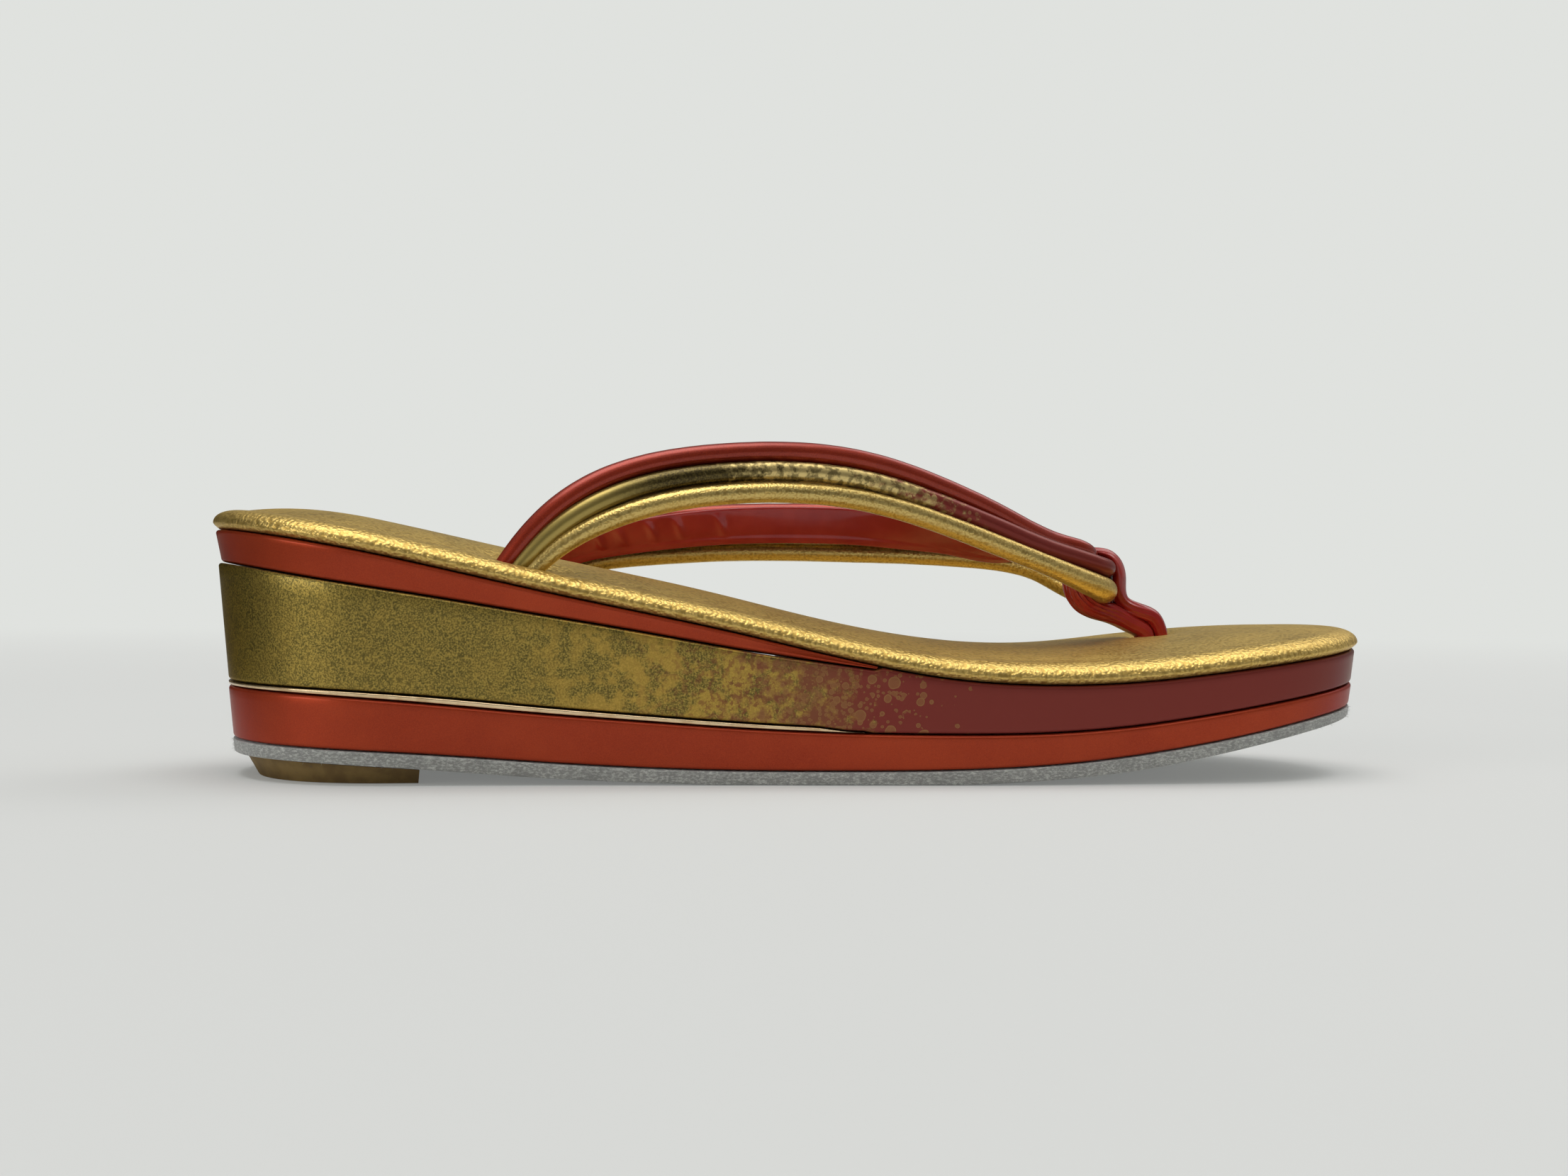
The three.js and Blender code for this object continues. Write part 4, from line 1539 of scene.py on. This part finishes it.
class MeshTool(Graph):
    """A Geometry Nodes tree in the making, and the step that turns its result into a mesh."""

    def __init__(self, name: str, inputs: dict[str, str]) -> None:
        """Starts the tree.

        Args:
            name: the tree's name.
            inputs: the kind of each input beside the geometry and the finish, by label.
        """
        tree = bpy.data.node_groups.new(name, "GeometryNodeTree")
        super().__init__(tree)
        self.sockets: dict[str, str] = {}
        tree.interface.new_socket("Geometry", in_out="INPUT", socket_type="NodeSocketGeometry")
        for label, kind in {**inputs, "Finish": "NodeSocketMaterial"}.items():
            socket = tree.interface.new_socket(label, in_out="INPUT", socket_type=kind)
            self.sockets[label] = socket.identifier
        tree.interface.new_socket("Geometry", in_out="OUTPUT", socket_type="NodeSocketGeometry")
        self.given = self.node("NodeGroupInput").outputs

    def end(self, geometry: NodeSocket) -> None:
        """Realizes the geometry, dresses it and makes it the tree's result.

        Args:
            geometry: what the tree has made.
        """
        real = self.node("GeometryNodeRealizeInstances", {0: geometry}).outputs[0]
        dressed = {"Geometry": real, "Material": self.given["Finish"]}
        done = self.node("GeometryNodeSetMaterial", dressed).outputs[0]
        self.node("NodeGroupOutput", {"Geometry": done})

    def apply(self, source: Object, name: str, **values: object) -> Object:
        """Runs the tree on an object and puts a plain mesh in the object's place.

        Args:
            source: the object, which is removed.
            name: the new object's name.
            values: the tree's inputs, by label with underscores.

        Returns:
            The new object.
        """
        modifier = source.modifiers.new(name, "NODES")
        modifier.node_group = self.tree
        for label, value in values.items():
            modifier[self.sockets[label.replace("_", " ").title()]] = value
        graph = bpy.context.evaluated_depsgraph_get()
        data = bpy.data.meshes.new_from_object(source.evaluated_get(graph))
        source.modifiers.remove(modifier)
        bpy.data.objects.remove(source)
        data.name = name
        return linked(name, data)


class RollMaker(MeshTool):
    """Makes a padded roll along a path."""

    SIDES = 28
    PUCKER_MM = 0.1
    PUCKER_SCALE = 260.0

    def __init__(self) -> None:
        """Builds the tree once for all rolls."""
        number = "NodeSocketFloat"
        inputs = {"Sides": "NodeSocketInt", "Pucker": number, "Pucker Scale": number}
        super().__init__("padded_roll", inputs)
        path = self.node("GeometryNodeMeshToCurve", {"Mesh": self.given["Geometry"]})
        circle = {"Resolution": self.given["Sides"], "Radius": 1.0}
        ring = self.node("GeometryNodeCurvePrimitiveCircle", circle)
        radius = self.node("GeometryNodeInputNamedAttribute", {"Name": "roll_radius"})
        tube_in = {
            "Curve": path.outputs[0],
            "Profile Curve": ring.outputs[0],
            "Scale": radius.outputs[0],
            "Fill Caps": True,
        }
        tube = self.node("GeometryNodeCurveToMesh", tube_in).outputs[0]
        noise_in = {"Scale": self.given["Pucker Scale"], "Detail": 2.0}
        noise = self.node("ShaderNodeTexNoise", noise_in).outputs["Fac"]
        lift = self.math("MULTIPLY", self.math("SUBTRACT", noise, 0.5), self.given["Pucker"])
        normal = self.node("GeometryNodeInputNormal").outputs[0]
        offset = self.vector("SCALE", {0: normal, "Scale": lift})
        moved_in = {"Geometry": tube, "Offset": offset}
        moved = self.node("GeometryNodeSetPosition", moved_in).outputs[0]
        self.end(self.node("GeometryNodeSetShadeSmooth", {"Geometry": moved}).outputs[0])

    def build(self, name: str, route: Route, finish: Material) -> Object:
        """Makes one roll.

        Args:
            name: the piece's name.
            route: its path, with the roll's diameter carried along.
            finish: its material.

        Returns:
            The roll as a plain mesh object.
        """
        path = bpy.data.meshes.new(f"{name}_path")
        count = len(route.places)
        path.from_pydata((route.places * MM).tolist(), [(i, i + 1) for i in range(count - 1)], [])
        radius = path.attributes.new("roll_radius", "FLOAT", "POINT")
        radius.data.foreach_set("value", (route.carried[:, 0] * MM / 2).astype(np.float32))
        holder = linked(f"{name}_path", path)
        pucker = {"pucker": self.PUCKER_MM * MM, "pucker_scale": self.PUCKER_SCALE}
        return self.apply(holder, name, sides=self.SIDES, finish=finish, **pucker)


class Fuzz(MeshTool):
    """Grows short fibres on the cut side of the outsole."""

    def __init__(self) -> None:
        """Builds the tree."""
        number = "NodeSocketFloat"
        inputs = {"Density": number, "Length": number, "Thickness": number, "Seed": "NodeSocketInt"}
        super().__init__("cut_fibres", inputs)
        normal = self.node("GeometryNodeInputNormal").outputs[0]
        level = self.node("ShaderNodeSeparateXYZ", {0: normal}).outputs["Z"]
        side = self.math("LESS_THAN", self.math("ABSOLUTE", level), 0.75)
        spread_in = {
            "Mesh": self.given["Geometry"],
            "Selection": side,
            "Density": self.given["Density"],
            "Seed": self.given["Seed"],
        }
        spread = self.node("GeometryNodeDistributePointsOnFaces", spread_in)
        fibre_in = {
            "Vertices": 4,
            "Radius Top": 0.0,
            "Radius Bottom": self.given["Thickness"],
            "Depth": self.given["Length"],
        }
        fibre = self.node("GeometryNodeMeshCone", fibre_in).outputs[0]
        swing_in = {"Min": (-0.9, -0.9, 0.0), "Max": (0.9, 0.9, 6.2)}
        swing = self.node("FunctionNodeRandomValue", swing_in, data_type="FLOAT_VECTOR")
        size_in = {2: 0.35, 3: 1.0, "Seed": 5}
        size = self.node("FunctionNodeRandomValue", size_in, data_type="FLOAT").outputs[1]
        placed_in = {
            "Points": spread.outputs["Points"],
            "Instance": fibre,
            "Rotation": spread.outputs["Rotation"],
            "Scale": size,
        }
        grown = self.node("GeometryNodeInstanceOnPoints", placed_in).outputs[0]
        turned_in = {"Instances": grown, "Rotation": swing.outputs[0]}
        turned = self.node("GeometryNodeRotateInstances", turned_in).outputs[0]
        both = self.node("GeometryNodeJoinGeometry")
        self.feed(both.inputs[0], turned)
        self.feed(both.inputs[0], self.given["Geometry"])
        self.end(both.outputs[0])


LOOP_LOOK = (
    (201.2, 25.4, 5.8, 3.0, 0.03, 0.2, 0),
    (201.2, 27.8, 6.0, 3.2, 0.03, 0.2, 0),
    (200.5, 30.0, 6.2, 3.4, 0.04, 0.2, 0),
    (199.3, 31.9, 6.4, 3.6, 0.04, 0.2, 0),
    (196.9, 33.1, 6.6, 3.6, 0.05, 0.2, 0),
    (194.3, 34.0, 6.4, 3.6, 0.12, 0.2, 0.1),
    (192.5, 35.4, 6.2, 3.3, 0.16, 0.5, 0.3),
    (191.9, 37.5, 6.8, 3.0, 0.06, 1.2, 0.35),
    (191.8, 40.5, 7.6, 3.0, 0.04, 1.5, 0.35),
    (191.2, 43.2, 7.8, 2.8, 0.05, 1.5, 0.35),
    (189.7, 45.1, 7.8, 2.4, 0.08, 1.1, 0.3),
    (187.3, 46.0, 7.4, 2.0, 0.12, 0.5, 0.2),
    (184.6, 46.0, 6.4, 1.6, 0.12, 0.2, 0.1),
    (182.4, 44.8, 6.0, 1.8, 0.12, 0, 0),
    (181.3, 42.2, 6.0, 2.4, 0.16, 0, 0),
    (181.6, 38.9, 6.4, 3.4, 0.20, 0, 0),
    (182.8, 36.6, 7.0, 4.2, 0.24, 0, 0),
    (184.8, 34.6, 7.4, 4.2, 0.24, 0, 0),
    (187.4, 33.4, 7.0, 4.0, 0.20, 0, 0),
    (190.1, 32.9, 6.4, 4.4, 0.14, 0, 0),
    (192.7, 31.7, 6.2, 4.0, 0.06, 0, 0),
    (195.2, 30.4, 6.0, 3.8, 0.04, 0, 0),
    (197.3, 29.1, 5.8, 3.5, 0.03, 0, 0),
    (198.2, 27.1, 5.6, 3.1, 0.03, 0, 0),
    (198.4, 25.4, 5.6, 3.0, 0.03, 0, 0),
)


@dataclass
class ToeLoop:
    """The gathered loop that holds the strap's tip down into the toe hole.

    A row of LOOP_LOOK is place, height, width, thickness, depth of the folds, how far the edges
    bend back, and how much narrower the inner side is than the outer side.
    """

    steps: int = 300
    sides: int = 96
    fold_pitch: float = 0.95
    wander: float = 1.3

    def section(self, carried: Array, share: float) -> tuple[Array, Array]:
        """Works out one cross section.

        Args:
            carried: width, thickness, fold depth, bend and narrowing.
            share: how far along the loop it is, from 0 to 1.

        Returns:
            The places across the band and through it.
        """
        wide, thick, depth, bend, narrowing = carried
        turns = 2 * math.pi * (np.arange(self.sides) + 0.5) / self.sides
        across = signed_power(np.cos(turns), 0.7)
        through = signed_power(np.sin(turns), 0.7)
        drift = self.wander * math.sin(share * 23)
        from_outer = (1 - through) * thick / 2
        edge_folds = np.cos(2 * math.pi * from_outer / self.fold_pitch + drift)
        a = across * wide / 2 + np.cos(turns) * depth * edge_folds
        a = a * (1 - narrowing * smooth_step(-through, -0.2, 0.7))
        face_folds = 1 - np.cos(2 * math.pi * a / (1.5 * self.fold_pitch) + drift)
        b = through * thick / 2 - np.sin(turns) * depth * face_folds
        return a, b - bend * across**2

    def build(self) -> None:
        """Makes the loop and dresses it."""
        rows = np.array(LOOP_LOOK, float)
        level = np.zeros(len(rows))
        rows = np.column_stack([rows[:, 0] - LAST.length / 2, level, rows[:, 1:]])
        route = Route.walk(rows, self.steps)
        along, _, _ = route.ways()
        outer = np.cross([0, 1, 0], along)
        rings = []
        for i, share in enumerate(np.linspace(0, 1, len(along))):
            a, b = self.section(route.carried[i], share)
            rings.append(route.places[i] + np.outer(a, [0, 1, 0]) + np.outer(b, outer[i]))
        form = Form().wrap(rings, (route.places[0], route.places[-1]))
        made = form.mesh("toe_loop_band", sharp_deg=80)
        patent = RedPatent(wrinkle_mm=0.9, wrinkle_depth_mm=0.05).build("loop_patent")
        place_piece(made, patent, "red_patent", "toe_loop")


@dataclass
class Studio:
    """A pale floor that fades into a pale room, its light, and the camera beside the sandal."""

    camera_at: tuple[float, float, float] = (-112.0, -403.7, 37.45)
    yaw_deg: float = 8.7
    roll_deg: float = 0.4
    frame_width: float = 0.79
    shift_x: float = 0.145
    backdrop: Color = (0.745, 0.76, 0.735)
    paper: Color = (0.48, 0.485, 0.47)
    paper_unseen: Color = (0.68, 0.685, 0.67)
    paper_glow: float = 0.24
    paper_shade: float = 0.97
    paper_cloud_mm: float = 220.0
    # Painted shade: the floor's colour left of the heel for rays other than the camera's, darkening
    # the heel's turn.
    painted_heel_shade: Color = (0.1, 0.1, 0.1)
    floor_half: float = 6.0
    floor_drop_mm: float = 0.1
    fade: tuple[float, float] = (0.35, 1.5)
    # Where the painted shade left of the heel gives way to the plain floor, along X in metres.
    heel_shade_span: tuple[float, float] = (-0.26, -0.12)
    floor_glow: Color = (0.30, 0.30, 0.28)
    room_glow: float = 0.39
    overhead_glow: float = 3.2
    # Each window: the way toward it, where its glow begins and is full, and its strength.
    windows: tuple[tuple[tuple[float, float, float], float, float, float], ...] = (
        ((-0.82, -0.56, 0.12), 0.90, 0.985, 3.6),
        ((0.62, 0.35, 0.70), 0.93, 0.985, 1.8),
    )
    dim_heel_at: tuple[float, float, float] = (-0.86, 0.5, 0.1)
    dim_heel_share: float = 0.12
    back_share: float = 0.55
    front_share: float = 0.36
    sun_energy: float = 0.2
    sun_spread_deg: float = 50.0
    sun_from: tuple[float, float, float] = (0.1, -0.35, 1.0)

    def build(self) -> None:
        """Makes the stage, the light and the camera."""
        self.floor()
        self.room()
        self.sun()
        self.camera()

    def floor(self) -> None:
        """Lays the floor, which takes the backdrop's colour away from the sandal. Rays other than
        the camera's see it painted dark left of the heel, a painted shade that darkens the heel's
        turn.
        """
        finish = Recipe("pale_paper")
        cloud = finish.noise(finish.place, self.paper_cloud_mm)
        darker = tuple(self.paper_shade * c for c in self.paper)
        seen = finish.node("ShaderNodeLightPath").outputs["Is Camera Ray"]
        x = finish.node("ShaderNodeSeparateXYZ", {0: finish.place}).outputs[0]
        # Painted shade: rays other than the camera's see the floor painted dark left of the heel.
        dim = finish.between(x, *self.heel_shade_span)
        paper_with_heel_shade = finish.mix(dim, self.painted_heel_shade, self.paper_unseen)
        paper = finish.mix(seen, paper_with_heel_shade, finish.mix(cloud, darker, self.paper))
        finish.set(base_color=paper, roughness=0.8, emission_color=self.backdrop)
        finish.set(emission_strength=finish.math("MULTIPLY", seen, self.paper_glow))
        away = finish.vector("LENGTH", {0: finish.place}, "Value")
        far = finish.mix(seen, self.floor_glow, self.backdrop)
        glow = finish.node("ShaderNodeEmission", {"Color": far}).outputs[0]
        both = {0: finish.between(away, *self.fade), 1: finish.shader.outputs[0], 2: glow}
        mixed = finish.node("ShaderNodeMixShader", both).outputs[0]
        finish.feed(finish.tree.nodes["Material Output"].inputs["Surface"], mixed)
        half = self.floor_half
        low = -self.floor_drop_mm * MM
        corners = [(-half, -half, low), (half, -half, low), (half, half, low), (-half, half, low)]
        data = bpy.data.meshes.new("studio_floor")
        data.from_pydata(corners, [], [(0, 1, 2, 3)])
        data.materials.append(finish.material)
        linked("studio_floor", data)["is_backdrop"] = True

    def room(self) -> None:
        """Surrounds the sandal with soft light: bright above, dim in front and at the heel."""
        world = bpy.data.worlds.new("pale_room")
        world.use_nodes = True
        g = Graph(world.node_tree)
        way = g.node("ShaderNodeTexCoord").outputs["Generated"]
        _, y, z = g.node("ShaderNodeSeparateXYZ", {0: way}).outputs

        def toward(place: tuple[float, float, float]) -> NodeSocket:
            """Returns how nearly a ray goes toward a place in the room."""
            return g.vector("DOT_PRODUCT", {0: way, 1: place}, "Value")

        low = g.between(z, 0.45, 0.8, 1.0, 0.0)
        front = g.between(y, -0.75, 0.0, self.front_share, 1.0)
        back = g.between(y, 0.3, 0.85, 1.0, self.back_share)
        heel = g.between(toward(self.dim_heel_at), 0.42, 0.68, 1.0, self.dim_heel_share)
        dimmed = g.math("MULTIPLY", front, g.math("MULTIPLY", back, heel))
        shade = g.between(low, 0.0, 1.0, 1.0, dimmed)
        bright = g.between(z, 0.84, 0.985, 0.0, self.overhead_glow)
        for place, edge, core, strength in self.windows:
            bright = g.math("ADD", bright, g.between(toward(place), edge, core, 0.0, strength))
        glow = g.math("MULTIPLY_ADD", shade, self.room_glow, bright)
        seen = g.node("ShaderNodeLightPath").outputs["Is Camera Ray"]
        light = g.node("ShaderNodeCombineColor", {0: glow, 1: glow, 2: glow}).outputs[0]
        background = world.node_tree.nodes["Background"]
        g.feed(background.inputs["Color"], g.mix(seen, light, self.backdrop))
        bpy.context.scene.world = world

    def sun(self) -> None:
        """Adds one broad soft light from above and a little in front."""
        lamp = bpy.data.lights.new("soft_day", "SUN")
        lamp.energy = self.sun_energy
        lamp.angle = math.radians(self.sun_spread_deg)
        light = linked("soft_day", lamp)
        light.rotation_euler = Vector(self.sun_from).to_track_quat("Z", "Y").to_euler()

    def camera(self) -> None:
        """Sets the camera level with the sandal's side."""
        data = bpy.data.cameras.new("photo_camera")
        data.sensor_width = 36.0
        data.lens = data.sensor_width / self.frame_width
        data.shift_x = self.shift_x
        data.clip_start = 0.01
        data.clip_end = 50.0
        camera = linked("photo_camera", data)
        camera.location = Vector(self.camera_at) * MM
        yaw = math.radians(self.yaw_deg)
        look = Vector((math.sin(yaw), math.cos(yaw), 0)).to_track_quat("-Z", "Y").to_matrix()
        roll = Matrix.Rotation(math.radians(self.roll_deg), 3, "Z")
        camera.rotation_euler = (look @ roll).to_euler()
        bpy.context.scene.camera = camera


def write_sizes() -> None:
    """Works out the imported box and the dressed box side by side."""
    boxes = {"cad": CAD_BOX, "visual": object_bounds()}
    plain = {name: [list(low), list(high)] for name, (low, high) in boxes.items()}


def main() -> None:
    """Builds the sandal, piece by piece, and its studio."""
    logging.basicConfig(level=logging.INFO, format="%(name)s %(message)s")
    bpy.context.scene.view_settings.view_transform = "Standard"
    Studio().build()
    Sole().build()
    Cushion().build()
    Strap().build()
    ToeLoop().build()
    write_sizes()


if __name__ == "__main__":
    main()
